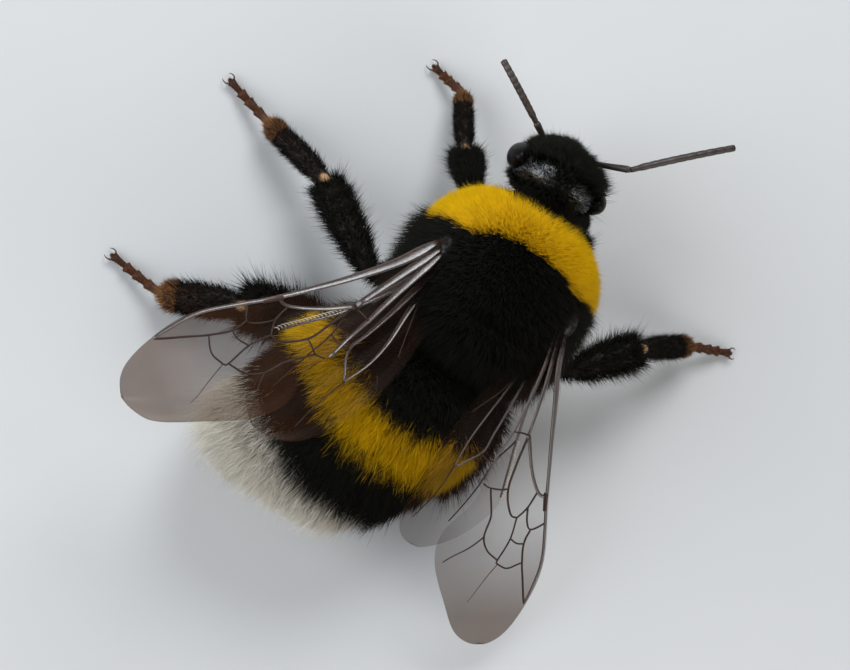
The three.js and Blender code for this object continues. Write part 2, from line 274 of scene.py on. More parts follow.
def bumps(tree, shader, height, strength, depth=0.00002):
    node = tree.nodes.new("ShaderNodeBump")
    node.inputs["Strength"].default_value = strength
    node.inputs["Distance"].default_value = depth
    link(tree, height, node.inputs["Height"])
    link(tree, node.outputs["Normal"], shader.inputs["Normal"])


# %% [markdown]
# ### The coat's colours
# A bumblebee's hairs are dull at the root, where they shade each other, and clearer at
# the tip, so each hair carries painted shade toward its root. `reach` runs from 0 at a
# hair's root to 1 at its tip, and `tone` is one random number for each hair. One function
# paints the black, yellow, white and brown coats. The band's yellow has more painted shade
# at the root than the collar's, as its longer hairs lie open.

# %% Coat finishes
BEND_AT = 0.45  # where along its length a long hair bends


def coat_finish(name, root, middle, tip, spread, gloss):
    material, tree, shader = nodes_for(name, gloss)
    # painted shade: each hair is darkest at its root, deep in the pile
    along = ramp(tree, own_value(tree, "reach"), (0.0, root), (BEND_AT, middle), (1.0, tip))
    each = ramp(tree, own_value(tree, "tone"), (0.0, 1 - spread), (1.0, 1 + spread))
    patches = speckle(tree, 900, 1 - spread / 2, 1 + spread / 4)
    colour = times(tree, times(tree, along, each), patches)
    paint(tree, shader, colour, speckle(tree, 9000, 0.5, 0.68))
    return material


BLACK_COAT = coat_finish("black_pile", (0.001, 0.001, 0.001), (0.003, 0.003, 0.002),
                         (0.011, 0.010, 0.007), 0.35, 0.05)
YELLOW_COAT = coat_finish("yellow_pile", (0.26, 0.10, 0.001), (0.46, 0.22, 0.001),
                          (0.66, 0.40, 0.002), 0.22, 0.06)
YELLOW_BAND = coat_finish("yellow_band_pile", (0.08, 0.03, 0.001), (0.34, 0.17, 0.001),
                          (0.62, 0.36, 0.002), 0.26, 0.06)
WHITE_COAT = coat_finish("white_pile", (0.10, 0.085, 0.06), (0.40, 0.355, 0.29),
                         (0.74, 0.68, 0.58), 0.16, 0.15)
BROWN_COAT = coat_finish("brown_pile", (0.03, 0.012, 0.005), (0.12, 0.045, 0.012),
                         (0.30, 0.13, 0.04), 0.3, 0.2)
print("coat finishes:", len(bpy.data.materials))

# %% [markdown]
# ### Skin and legs
# Under its coat a bumblebee is hard black shell with fine pits. The skin carries the same
# bands as the coat, stored as `yellow` and `white` on its points, and `bare` is high on
# the polished crown of the head, so the roughness falls there. A leg is near black at the
# hip and rust brown at the foot, so its colour follows a stored value too.

# %% Skin and leg finishes
def skin_finish():
    """Black pitted shell that takes the coat's colour below the yellow and white bands."""
    material, tree, shader = nodes_for("skin", 0.7)
    mottle = ramp(tree, grain(tree, 1500), (0.35, (0.003, 0.003, 0.003)), (0.7, (0.009, 0.008, 0.007)))
    colour = blend_colours(tree, own_value(tree, "yellow"), mottle, (0.36, 0.17, 0.003))
    colour = blend_colours(tree, own_value(tree, "white"), colour, (0.30, 0.27, 0.22))
    matt = ramp(tree, own_value(tree, "bare"), (0.0, 0.95), (1.0, 0.26))
    paint(tree, shader, colour, times(tree, matt, speckle(tree, 6000, 0.8, 1.0)))
    dents = blend_colours(tree, 0.35, grain(tree, 3200, 2.0), grain(tree, 11000, 2.0))
    bumps(tree, shader, dents, 0.9, 0.0001)
    return material


def limb_finish():
    """Nearly black at the hip, warmer toward the foot: `down` runs from 0 to 1 along a leg."""
    material, tree, shader = nodes_for("leg_shell", 0.13)
    along = ramp(tree, own_value(tree, "down"), (0.0, (0.008, 0.006, 0.005)),
                 (0.62, (0.012, 0.007, 0.005)), (0.76, (0.036, 0.011, 0.004)),
                 (0.9, (0.045, 0.014, 0.005)), (1.0, (0.026, 0.009, 0.004)))
    colour = times(tree, along, speckle(tree, 4000, 0.6, 1.25))
    joints = blend_colours(tree, own_value(tree, "joint"), colour, (0.42, 0.24, 0.11))
    paint(tree, shader, joints, speckle(tree, 7000, 0.42, 0.56))
    bumps(tree, shader, grain(tree, 14000, 2.0), 0.45)
    return material


SKIN = skin_finish()
LEG_SHELL = limb_finish()
print("finishes made:", SKIN.name, "and", LEG_SHELL.name)

# %% [markdown]
# ### Bare shell, eyes and wing film
# Caps, jaws, claws, feelers and veins are the same horny stuff in other tones, so one
# function makes them all. An eye is a dome of thousands of lenses, too fine to model: a
# cell pattern dents its polish. The film is a see-through skin that is smokier outward,
# so its Alpha and its colour run along the wing.

# %% Shell, eye and wing finishes
def shell_finish(name, dark, light, low_rough, high_rough, gloss=0.5):
    """Horny shell: faint mottling, uneven polish and fine pits."""
    material, tree, shader = nodes_for(name, gloss)
    colour = ramp(tree, grain(tree, 2500), (0.3, dark), (0.75, light))
    paint(tree, shader, colour, speckle(tree, 6000, low_rough, high_rough))
    bumps(tree, shader, grain(tree, 14000, 2.0), 0.35)
    return material


def eye_finish():
    """Dark glassy domes: a fine cell pattern stands for the facets."""
    material, tree, shader = nodes_for("eye", 0.09)
    colour = ramp(tree, grain(tree, 900), (0.3, (0.001, 0.0007, 0.0006)), (0.8, (0.004, 0.002, 0.0015)))
    paint(tree, shader, colour, speckle(tree, 3000, 0.30, 0.42))
    spot = tree.nodes.new("ShaderNodeTexCoord")
    cells = tree.nodes.new("ShaderNodeTexVoronoi")
    cells.inputs["Scale"].default_value = 26000
    link(tree, spot.outputs["Object"], cells.inputs["Vector"])
    bumps(tree, shader, cells.outputs["Distance"], 0.12, 0.00001)
    return material


def wing_finish():
    """Smoky see-through film: thicker outward, and browner far from the body."""
    material, tree, shader = nodes_for("wing_film", 0.08)
    outward = own_value(tree, "outward")
    colour = ramp(tree, own_value(tree, "far"), (0.0, (0.05, 0.023, 0.016)),
                  (0.65, (0.05, 0.019, 0.008)), (1.0, (0.09, 0.035, 0.004)))
    link(tree, ramp(tree, outward, (0.2, 0.05), (0.55, 0.10), (0.9, 0.50)), shader.inputs["Alpha"])
    colour = times(tree, colour, speckle(tree, 500, 0.75, 1.2, 4.0))
    paint(tree, shader, colour, speckle(tree, 500, 0.22, 0.36, 4.0))
    bumps(tree, shader, grain(tree, 9000, 2.0), 0.4)
    return material


CAP_SHELL = shell_finish("cap_shell", (0.006, 0.005, 0.004), (0.016, 0.010, 0.007), 0.3, 0.42, 0.5)
ANTENNA_SHELL = shell_finish("antenna_shell", (0.012, 0.008, 0.006), (0.035, 0.018, 0.012), 0.4, 0.55)
MOUTH_SHELL = shell_finish("mouth_shell", (0.006, 0.003, 0.003), (0.030, 0.010, 0.005), 0.34, 0.48, 0.35)
CLAW_SHELL = shell_finish("claw_shell", (0.025, 0.009, 0.005), (0.08, 0.028, 0.012), 0.3, 0.45)
RIB_SHELL = shell_finish("rib_shell", (0.016, 0.006, 0.003), (0.04, 0.015, 0.008), 0.26, 0.36, 0.9)
VEIN_SHELL = shell_finish("vein_shell", (0.016, 0.006, 0.003), (0.04, 0.015, 0.007), 0.5, 0.62, 0.25)
HOOK_SHELL = shell_finish("hook_shell", (0.45, 0.38, 0.30), (0.7, 0.64, 0.55), 0.3, 0.45)
EYE = eye_finish()
WING_FILM = wing_finish()
print("finishes made:", len(bpy.data.materials))

# %% [markdown]
# ## The body's own shapes
# Head, thorax and abdomen are three shells on one line, each a stretched sphere at heart.
# The thorax is a fuller, squarer ball. The abdomen widens quickly behind the waist and
# runs out to a blunt tail. The skin keeps the same proportions as the whole bee but lies
# deeper by the length of the coat, so the hair's tips end where the body's outline is.

# %% Body measures
THORAX_MIDDLE = Vector((0, 0, 5.7))
THORAX_HALF = Vector((3.9, 3.75, 3.1))
THORAX_FULLNESS = 2.4
HEAD_PLACE = Matrix.Translation((0.05, -5.95, 5.05)) @ Euler((-0.22, 0, 0)).to_matrix().to_4x4()
HEAD_HALF = Vector((2.02, 1.68, 2.55))
WAIST = Vector((0.6, 3.7, 4.6))
ABDOMEN_HALF = Vector((4.2, 9.6, 2.95))  # sideways, its whole length, upward
ABDOMEN_START = 0.35  # how far behind the waist point its shell begins
WIDEST = 0.36
TURN_LEFT, DROOP = math.radians(10), math.radians(12)
TAIL_WAY = Vector((math.sin(TURN_LEFT) * math.cos(DROOP),
                   math.cos(TURN_LEFT) * math.cos(DROOP), -math.sin(DROOP)))
TAIL_TURN = Vector((0, 1, 0)).rotation_difference(TAIL_WAY)
ABDOMEN_PLACE = Matrix.Translation(WAIST) @ TAIL_TURN.to_matrix().to_4x4()
SIDEWAYS, UPWARD = 0.34, 0.13  # how strongly its middle line bends to the bee's left, and up
PLATE_EDGES = (2.2, 4.7, 7.9, 10.2)  # along the abdomen, where the bands change


def drift(distance):
    """The abdomen's middle line leaves its axis gently."""
    return distance * distance / (abs(distance) + 3)


def thorax_form(spot):
    size = sum(abs(value) ** THORAX_FULLNESS for value in spot) ** (-1 / THORAX_FULLNESS)
    out = Vector(value * size * half for value, half in zip(spot, THORAX_HALF))
    # the scutellum, a low shelf over the waist, and a shallow dip in front of it
    out.z += 0.18 * math.exp(-((out.y - 2.5) / 0.55) ** 2 - (out.x / 1.9) ** 2) * (spot.z > 0)
    out.z -= 0.14 * math.exp(-((out.y - 1.75) / 0.25) ** 2 - (out.x / 2.2) ** 2) * (spot.z > 0)
    return out + THORAX_MIDDLE


def abdomen_form(spot):
    """The sphere's poles become the waist and the tail: z of the sphere runs along the body."""
    back = -spot.z
    round_part = math.sqrt(max(1 - back * back, 0))
    if back < 0:
        share, ring = WIDEST * (1 - abs(back) ** (2 / 2.2)), round_part ** (2 / 2.2)
    else:
        share, ring = WIDEST + (1 - WIDEST) * back ** (2 / 2.6), round_part ** (2 / 2.6)
    distance = ABDOMEN_START + share * (ABDOMEN_HALF.y - ABDOMEN_START)
    # each plate ends in a low step over the next one
    for edge in PLATE_EDGES:
        ring *= 1 - 0.022 * max(0, 1 - abs(distance - edge + 0.25) / 0.35) * (distance > edge - 0.25)
    around = math.atan2(spot.y, spot.x)
    bend = drift(distance)
    local = Vector((ring * math.cos(around) * ABDOMEN_HALF.x + SIDEWAYS * bend, distance,
                    ring * math.sin(around) * ABDOMEN_HALF.z + UPWARD * bend))
    return ABDOMEN_PLACE @ local


# %% [markdown]
# ### The head
# Seen from the front, a bumblebee's head is a blunt shield that narrows from the crown to
# the jaws. The clypeus is a low boss over the jaws, each feeler stands in a small socket,
# and the crown is a smooth polished dome with three tiny simple eyes. These forms are
# added by pushing the sphere's corners, which keeps one smooth surface.

# %% Shape the head
def soft(value, low, high):
    t = min(max((value - low) / (high - low), 0), 1)
    return t * t * (3 - 2 * t)


def hill(x, y, wide, tall):
    return math.exp(-(x / wide) ** 2 - (y / tall) ** 2)


FEELER_SOCKETS = ((0.62, 0.25), (-0.62, 0.25))
SIMPLE_EYES = ((0, -0.62, 2.47), (0.42, -0.28, 2.50), (-0.42, -0.28, 2.50))


def head_form(spot):
    narrow = 1 - 0.34 * soft(-spot.z, 0.05, 0.95)
    full = 1 + 0.42 * (spot.x * max(spot.z, 0)) ** 2  # the crown's two corners
    out = Vector((spot.x * HEAD_HALF.x * narrow * full, spot.y * HEAD_HALF.y,
                  spot.z * HEAD_HALF.z * full))
    if spot.y < 0:  # the face
        out.y *= 0.94
        out.y -= 0.30 * hill(out.x, out.z + 0.95, 0.75, 0.62)  # clypeus
        out.y -= 0.10 * hill(out.x, out.z - 0.35, 0.28, 0.7)  # ridge between the feelers
        for side, up in FEELER_SOCKETS:
            out.y += 0.16 * hill(out.x - side, out.z - up, 0.24, 0.24)
    else:  # the back of the head is flatter, with full temples behind the eyes
        out.y *= 0.82
        out.x *= 1 + 0.07 * hill(out.y - 0.55, out.z - 0.9, 0.6, 1.3)
    out.x *= 1 + 0.05 * hill(spot.y, out.z + 1.15, 0.7, 0.5)  # cheeks
    return HEAD_PLACE @ out


def lump(middle, half):
    return lambda spot: Vector(middle) + Vector(value * size for value, size in zip(spot, half))


# %% [markdown]
# ## One skin
# The three shells, the neck and the narrow waist would show seams where they cross. A
# Boolean could join them, but it keeps sharp creases. A voxel Remesh wraps one even net
# over all of them, and a few rounds of smoothing melt the joints together. It is made
# at millimetre size, because a voxel of a tenth of a millimetre is easier to handle so.

# %% Wrap the skin
def evaluated(piece):
    graph = bpy.context.evaluated_depsgraph_get()
    return bpy.data.meshes.new_from_object(piece.evaluated_get(graph))


def wrapped(bm, voxel, smoothing):
    """One closed mesh around everything in the bmesh."""
    rough = placed("rough", mesh_of(bm))
    net = rough.modifiers.new("net", "REMESH")
    net.mode = "VOXEL"
    net.voxel_size = voxel
    ease = rough.modifiers.new("ease", "SMOOTH")
    ease.factor = 0.5
    ease.iterations = smoothing
    mesh = evaluated(rough)
    bpy.data.objects.remove(rough)
    return mesh


body = bmesh.new()
ball(body, thorax_form, 96, 60)
ball(body, abdomen_form, 96, 110)
ball(body, head_form, 96, 72)
ball(body, lump((0.02, -4.1, 5.1), (1.25, 1.3, 1.5)))
ball(body, lump((0.55, 4.0, 4.7), (1.5, 1.2, 1.35)))
for side, forward, up in SIMPLE_EYES:
    ball(body, lump(HEAD_PLACE @ Vector((side, forward, up)), (0.16, 0.16, 0.14)), 20, 12)
skin_mesh = wrapped(body, 0.1, 4)
print("skin faces:", len(skin_mesh.polygons))

# %% [markdown]
# ## Markings
# One function tells what colour the coat has at any place on the bee. Both the skin and
# the hairs ask it, so they always agree. The bands are measured along the abdomen's
# axis, and the collar by how far forward and how high a place lies on the thorax. Hairs
# lie backward, so each band starts a little ahead of where its colour is seen to start.

# %% Where each colour lies
WAIST_Y, NECK_Y = 3.3, -4.45  # where the abdomen and the head begin
TIP_START = 9.35  # along the abdomen, where the brown tip begins
COLLAR_HALF = 2.4  # half the width over which its rear edge is bowed forward
COLLAR_REAR = (-1.45, 0.6)  # at the sides, and how much further forward at the middle
# black hairs in front of the collar's front edge are painted shade on its front slope
COLLAR_LOW, COLLAR_SHADE_EDGE = 3.7, -3.4  # how low and how far forward it reaches
COLLAR_NARROWS = 0.55  # how fast its rear edge runs forward below the shoulders
AHEAD = (0.35, 0.95, 2.45)  # how far each band's roots lie ahead of its seen border
BOW = (1.05, 1.1, 1.7)  # how far each border runs back along the middle of the back
RIGHT_SLANT = (0, 0, 0.9)  # and on its right flank, as the tail is a little twisted
LEFT_SLANT = (0, -0.6, 0.65)  # and on its left flank


def local_to(place, spots):
    back = np.array(place.inverted())
    return spots @ back[:3, :3].T + back[:3, 3]


def fade(values, start, width):
    """0 up to start, then rising evenly to 1 over the width."""
    return np.clip((values - start) / width, 0, 1)


def ripple(spots, size):
    """A cheap smooth unevenness for borders, between -1 and 1."""
    x, y, z = spots.T / size
    return np.sin(x + 1.7 * np.sin(1.3 * y)) * np.sin(1.1 * y + 1.3 * np.sin(z)) * np.cos(0.9 * z + x)


def along_abdomen(spots):
    """Across, behind and above the abdomen's bent middle line."""
    across, behind, up = local_to(ABDOMEN_PLACE, spots).T
    bend = drift(behind)
    return across - SIDEWAYS * bend, behind, up - UPWARD * bend


def past_borders(spots):
    """How far behind each of the abdomen's three borders every place lies."""
    across, behind, up = along_abdomen(spots)
    back_line = np.clip(up / np.maximum(np.hypot(across, up), 0.1), 0, 1) ** 1.5
    right_side, left_side = fade(-across, 0, 3.5), fade(across, 1, 2.5)
    return [behind - edge + ahead - bow * back_line - right * right_side - left * left_side
            for edge, ahead, bow, right, left in zip(PLATE_EDGES, AHEAD, BOW, RIGHT_SLANT, LEFT_SLANT)]


def regions(spots):
    """Masks of the places that belong to each part of the coat."""
    x, y, z = spots.T
    uneven = 0.16 * ripple(spots, 0.35)
    _, behind, up = along_abdomen(spots)
    on_abdomen = (y > WAIST_Y) & (behind > 0.45)
    on_head = y < NECK_Y + 0.12 * (z - 5.5)
    on_thorax = ~on_abdomen & ~on_head
    side, forward = COLLAR_REAR
    rear_edge = side - forward * np.clip(1 - (x / COLLAR_HALF) ** 2, 0, 1)
    rear_edge -= COLLAR_NARROWS * np.clip(6.0 - z, 0, None)
    collar = on_thorax & (y + uneven < rear_edge) & (z + 2 * uneven > COLLAR_LOW)
    # in front of this edge black hairs paint the shade on the collar's front slope
    collar &= y + uneven > COLLAR_SHADE_EDGE
    masks = {"head": on_head, "collar": collar, "thorax": on_thorax & ~collar}
    band = sum((past + uneven > 0).astype(int) for past in past_borders(spots))
    tip = on_abdomen & (behind + uneven - 0.1 * up > TIP_START)
    for number, name in enumerate(("plate_1", "plate_2", "plate_3", "tail")):
        masks[name] = on_abdomen & (band == number) & ~tip
    masks["tip"] = tip
    return masks


# %% [markdown]
# ### Markings stored on the skin
# The finish of the skin can't ask a function of ours, so the answer is stored on its
# points as attributes. An image would do too, but it needs an unwrap and has seams.

# %% Store the markings
def mesh_points(mesh):
    """The places and the normals of a mesh's points."""
    spots = np.empty(len(mesh.vertices) * 3)
    mesh.vertices.foreach_get("co", spots)
    normals = np.empty_like(spots)
    mesh.vertices.foreach_get("normal", normals)
    return spots.reshape(-1, 3), normals.reshape(-1, 3)


def store(mesh, name, values):
    layer = mesh.attributes.new(name, "FLOAT", "POINT")
    layer.data.foreach_set("value", np.asarray(values, np.float32))


def head_crown(spots):
    """1 on the polished crown and behind the eyes, 0 elsewhere on the head."""
    x, y, z = local_to(HEAD_PLACE, spots).T
    crown = fade(z, 1.9, 0.3) * fade(y, -0.7, 0.3) * fade(-y, -0.75, 0.2)
    crown *= 0.5 + 0.5 * fade(np.abs(x), 0.3, 0.4)
    temple = fade(np.abs(x), 0.7, 0.25) * fade(y, -0.35, 0.25)
    temple *= fade(z, 0.2, 0.5) * fade(-y, -1.15, 0.25)
    return np.maximum(crown, temple) * (spots[:, 1] < -4.3)


skin_spots = mesh_points(skin_mesh)[0]
zones = regions(skin_spots)
store(skin_mesh, "yellow", zones["collar"] | zones["plate_2"])
store(skin_mesh, "white", zones["tail"])
store(skin_mesh, "bare", head_crown(skin_spots))
print("skin points:", {name: int(mask.sum()) for name, mask in zones.items()})

# %% [markdown]
# ## The coat
# A bumblebee's pile is thousands of fine hairs. Particle hair would be the usual way, but
# it is lost when the model leaves Blender, so each hair here is real geometry. First come
# the roots: random places on the skin's triangles, more of them on larger ones and where
# the coat is thick.

# %% Scatter roots over a skin
class Skin:
    """The triangles of a mesh, ready for throwing roots on."""

    def __init__(self, mesh):
        self.spots, self.normals = mesh_points(mesh)
        mesh.calc_loop_triangles()
        corners = np.empty(len(mesh.loop_triangles) * 3, np.int32)
        mesh.loop_triangles.foreach_get("vertices", corners)
        self.corners = corners.reshape(-1, 3)
        a, b, c = (self.spots[self.corners[:, k]] for k in range(3))
        self.areas = np.linalg.norm(np.cross(b - a, c - a), axis=1) / 2
        self.middles = (a + b + c) / 3

    def roots(self, count, weight, rng):
        """Random places and normals: weight says how thickly each place is covered."""
        chance = self.areas * weight(self.middles)
        picked = rng.choice(len(chance), count, p=chance / chance.sum())
        share = rng.random((count, 2))
        share = np.where(share.sum(1, keepdims=True) > 1, 1 - share, share)
        share = np.column_stack([1 - share.sum(1), share])
        corners = self.corners[picked]
        spots = (self.spots[corners] * share[:, :, None]).sum(1)
        normals = (self.normals[corners] * share[:, :, None]).sum(1)
        return spots, unit(normals)


def unit(vectors):
    return vectors / np.maximum(np.linalg.norm(vectors, axis=1, keepdims=True), 1e-9)


def unwrap_round(place):
    """An unwrap round an axis: the angle about it, and the way from pole to pole."""
    def unwrap(spots, normals):
        local = local_to(place, spots)
        angle = np.arctan2(local[:, 0], -local[:, 2]) / (2 * math.pi) + 0.5
        return angle, local[:, 1]
    return unwrap


# %% [markdown]
# ### Growing the hairs
# A hair leaves its root at an angle, bends toward the lie of the coat and ends in a point.
# Each root gets its own length, swing and lean. Neighbouring tips are drawn together into
# small locks, as pile is never combed perfectly. What would poke through a wing or the
# floor is moved back to its near side.

# %% Grow hairs
ROOT_DEPTH = 0.05  # how deep a hair starts below the skin
LOWEST_BEND, LOWEST_TIP = 0.06, 0.04  # how near the floor a hair may come
coat_triangles = 0


def grow(name, roots, lie, style, unwrap, rng, material, slot):
    """Turns roots into one joined mesh of spikes. style holds length, width, the lean of
    the lower and the upper half away from the skin's normal, and how far tips gather."""
    global coat_triangles
    spots, normals = roots
    straight = style.get("straight", False)
    count = len(spots)
    side = unit(np.cross(normals, lie))
    swing = rng.normal(0, style.get("swing", 0.35), count)[:, None]
    flow = unit(np.cross(side, normals)) * np.cos(swing) + side * np.sin(swing)
    stray = style.get("stray", 0.22) * (rng.random(count) < 0.06)
    length = (style["length"] * (rng.uniform(0.68, 1.1, count) + stray))[:, None]
    low, high = (np.radians(angle + rng.normal(0, 7, count))[:, None] for angle in style["lean"])
    foot = spots - ROOT_DEPTH * normals
    bend = foot + BEND_AT * length * (np.cos(low) * normals + np.sin(low) * flow)
    tip = bend + (1 - BEND_AT) * length * (np.cos(high) * normals + np.sin(high) * flow)
    gather = style.get("gather", 0)
    if gather:
        tip = gathered(spots, tip, gather, style.get("lock", 0.3), rng)
    bend, tip = under_wings(bend, spots), under_wings(tip, spots)
    bend[:, 2] = np.maximum(bend[:, 2], LOWEST_BEND)
    tip[:, 2] = np.maximum(tip[:, 2], LOWEST_TIP)
    way = unit(tip - foot)
    across = unit(np.cross(way, normals))
    upward = np.cross(across, way)
    width = (style["width"] * rng.uniform(0.8, 1.15, count))[:, None] / 2
    turns = [2 * math.pi * k / 3 + math.pi / 2 for k in range(3)]
    outs = [math.cos(angle) * across + math.sin(angle) * upward for angle in turns]
    points = [foot + width * out for out in outs]
    if not straight:
        points += [bend + 0.8 * width * out for out in outs]
    points = np.stack(points + [tip], axis=1)
    mesh = spikes_mesh(name, points, unwrap(spots, normals), rng)
    coat_triangles += count * (4 if straight else 10)
    print(f"{name}: {count} hairs")
    return finish_piece(name, mesh, material, slot)


def gathered(spots, tips, pull, lock, rng):
    """Neighbouring hairs lean their tips together into locks."""
    count = max(2, int(len(spots) * min(1, 0.03 / lock)))
    leaders = rng.choice(len(spots), count, replace=False)
    tree = KDTree(count)
    for i, leader in enumerate(leaders):
        tree.insert(spots[leader], i)
    tree.balance()
    nearest = leaders[[tree.find(spot)[1] for spot in spots]]
    share = (pull * rng.uniform(0.3, 1, len(spots)))[:, None]
    return tips + share * (tips[nearest] - tips)


# %% [markdown]
# ### A mesh of many hairs
# Each hair is a thin closed spike with three sides. Long hairs have one bend and 7
# corners. Short ones are straight and need only 4, so there can be more of them. Numpy
# lays them all out in long arrays, far quicker than thousands of separate operators.
#
# `OFBake` is a map on which every hair gets a tiny patch, placed
# where its root lies on an unwrap of the skin, seen round the body's own axis.

# %% Build the mesh of hairs
PATCH = 0.003  # size of a hair's patch on the baking map
STRAIGHT_HAIR = ((0, 2, 1), (0, 1, 3), (1, 2, 3), (2, 0, 3))
BENT_HAIR = ((0, 2, 1), (0, 1, 4, 3), (1, 2, 5, 4), (2, 0, 3, 5), (3, 4, 6), (4, 5, 6), (5, 3, 6))


def spikes_mesh(name, points, places, rng):
    """One mesh from every hair's corners: count x 4 straight, or count x 7 with a bend."""
    count, size = points.shape[:2]
    faces = STRAIGHT_HAIR if size == 4 else BENT_HAIR
    pattern = np.concatenate([np.array(face) for face in faces])
    starts = np.cumsum([0] + [len(face) for face in faces[:-1]])
    corners = (np.arange(count)[:, None] * size + pattern).ravel()
    mesh = bpy.data.meshes.new(name)
    mesh.vertices.add(count * size)
    mesh.vertices.foreach_set("co", points.ravel())
    mesh.loops.add(len(corners))
    mesh.loops.foreach_set("vertex_index", corners.astype(np.int32))
    mesh.polygons.add(count * len(faces))
    loop_starts = (np.arange(count)[:, None] * len(pattern) + starts).ravel()
    mesh.polygons.foreach_set("loop_start", loop_starts.astype(np.int32))
    mesh.update(calc_edges=True)
    reach = np.array([0, 0, 0, 1] if size == 4 else [0, 0, 0, BEND_AT, BEND_AT, BEND_AT, 1])
    store(mesh, "reach", np.tile(reach, count))
    store(mesh, "tone", np.repeat(rng.random(count), size))
    # each hair's patch: its three sides spread across, its length spread along
    ring = np.arange(size) % 3 * (reach < 1)
    patch_x = np.where(reach < 1, 0.5 * ring - 0.5, 0)[pattern] * PATCH
    patch_y = (reach - 0.5 + 0.1 * (ring == 1))[pattern] * PATCH
    around, along = places
    spread = (along - along.min()) / max(np.ptp(along), 1e-9)
    u = (PATCH + around * (1 - 2 * PATCH))[:, None] + patch_x
    v = (PATCH + spread * (1 - 2 * PATCH))[:, None] + patch_y
    mesh.uv_layers.new(name="OFBake").uv.foreach_set("vector", np.stack([u, v], 2).ravel())
    return mesh


# %% [markdown]
# ## Wings
# A bee's wing is a film of two skins, stiffened by hollow veins and folded in shallow
# pleats that fan out from its root. It could be a picture on a flat card, but then the
# veins would be paint. Here the film is a grid, bent to the outline and the pleats, and
# given a thickness with Solidify. The veins are raised tubes that lie on the same surface.
#
# Outlines and veins are in shares of a wing's length: the first number runs from root to
# tip, the second toward the leading edge. One drawing serves the left and the right wing.

# %% Wing drawings
FOREWING = {
    "length": 16.2,
    "lead": [(0, .03), (.28, .03), (.5, .062), (.72, .108), (.86, .092), (.97, .045), (1, -.03)],
    "trail": [(0, -.03), (.3, -.15), (.49, -.178), (.6, -.262), (.7, -.262), (.84, -.19),
              (.95, -.118), (1, -.03)],
}
HINDWING = {
    "length": 11.0,
    "lead": [(0, .03), (.2, .05), (.4, .092), (.55, .145), (.68, .19), (.8, .165), (.93, .08),
             (1, -.05)],
    "trail": [(0, -.03), (.1, -.11), (.25, -.2), (.48, -.26), (.74, -.262), (.93, -.19), (1, -.05)],
}
# each vein: its thickness at both ends, then the places it runs through
FOREWING["veins"] = {
    "front_edge": (.11, .075, [(.01, .02), (.14, .012), (.28, .022), (.4, .038), (.52, .058), (.6, .077),
                               (.72, .101), (.82, .094), (.86, .087)]),
    "stigma": (.13, .10, [(.49, .048), (.515, .053), (.545, .059)]),
    "middle": (.09, .075, [(.01, .0), (.12, -.018), (.31, -.05)]),
    "basal": (.085, .06, [(.31, -.05), (.4, -.022), (.485, .022), (.502, .05)]),
    "elbow": (.07, .055, [(.31, -.05), (.4, -.068), (.473, -.079), (.549, -.055), (.564, -.03)]),
    "cross_low": (.055, .05, [(.31, -.05), (.296, -.102)]),
    "rear": (.085, .05, [(.01, -.012), (.14, -.05), (.296, -.102), (.44, -.168)]),
    "cell_root": (.05, .045, [(.473, -.079), (.47, -.135), (.453, -.165)]),
    "cell_rear": (.055, .05, [(.47, -.135), (.524, -.124), (.564, -.116), (.623, -.121), (.67, -.096),
                              (.703, -.054)]),
    "to_edge": (.045, .03, [(.623, -.121), (.66, -.17), (.7, -.235)]),
    "first_bend": (.055, .05, [(.485, .022), (.534, .002), (.564, -.03)]),
    "second_bend": (.055, .05, [(.534, .002), (.579, .012), (.607, .031), (.588, .07)]),
    "long_middle": (.05, .045, [(.564, -.03), (.632, -.032), (.703, -.054), (.717, -.049)]),
    "third_bend": (.05, .045, [(.632, -.032), (.651, -.003), (.655, .023)]),
    "long_front": (.055, .06, [(.607, .031), (.655, .023), (.719, .037), (.778, .057), (.833, .075),
                               (.86, .086)]),
    "outer_bend": (.05, .045, [(.717, -.049), (.733, -.011), (.719, .037)]),
    "fold": (.025, .015, [(.717, -.049), (.775, -.078), (.84, -.112)]),
}
HINDWING["veins"] = {
    "front_edge": (.09, .06, [(.01, .02), (.2, .042), (.4, .084), (.55, .135), (.66, .178)]),
    "branch": (.05, .035, [(.4, .08), (.52, .045), (.66, .035), (.84, .02)]),
    "middle": (.075, .05, [(.01, .0), (.25, -.03), (.4, -.042), (.502, -.048), (.598, -.137)]),
    "cross": (.05, .045, [(.502, -.048), (.52, .0), (.52, .045)]),
    "rear": (.065, .045, [(.01, -.012), (.2, -.07), (.35, -.12), (.472, -.141), (.598, -.137)]),
    "to_edge": (.045, .025, [(.598, -.137), (.73, -.14), (.87, -.16)]),
    "last": (.04, .025, [(.1, -.045), (.22, -.11), (.35, -.19)]),
}


print("veins drawn:", len(FOREWING["veins"]), "and", len(HINDWING["veins"]))

# %% [markdown]
# ### Where a wing lies
# A wing is placed by its root and tip, its tilt and the height of its arch. `point` bends
# a flat drawing onto that surface, and `place_of` is the way back, which tells whether a
# hair would poke through. A lattice or bones could bend a finished mesh, but then the
# veins and hairs could not ask where the film is. The left forewing's rear margin is
# drawn in a little, as it folds there at rest.

# %% Place the wings
EDGE_STEPS = 400


def edge_curve(points, other):
    """An outline's edge as a smooth line, evenly spaced along its own length. At the tip it
    heads for the other edge, so that the tip is round."""
    line = smooth_path([(x, y, 0) for x, y in points], EDGE_STEPS, (*other[-2], 0))[:, :2]
    run = np.concatenate([[0], np.cumsum(np.linalg.norm(np.diff(line, axis=0), axis=1))])
    even = np.linspace(0, run[-1], EDGE_STEPS + 1)
    return np.column_stack([np.interp(even, run, line[:, 0]), np.interp(even, run, line[:, 1])])


REAR_LINE = -0.1  # behind this line a wing's rear margin may be drawn in
PLEATS = 3.2  # how many run along the wing
HAIR_GAP, CAUGHT = 0.12, 1.6  # how far below the film hairs stay, and up to how far above they're caught


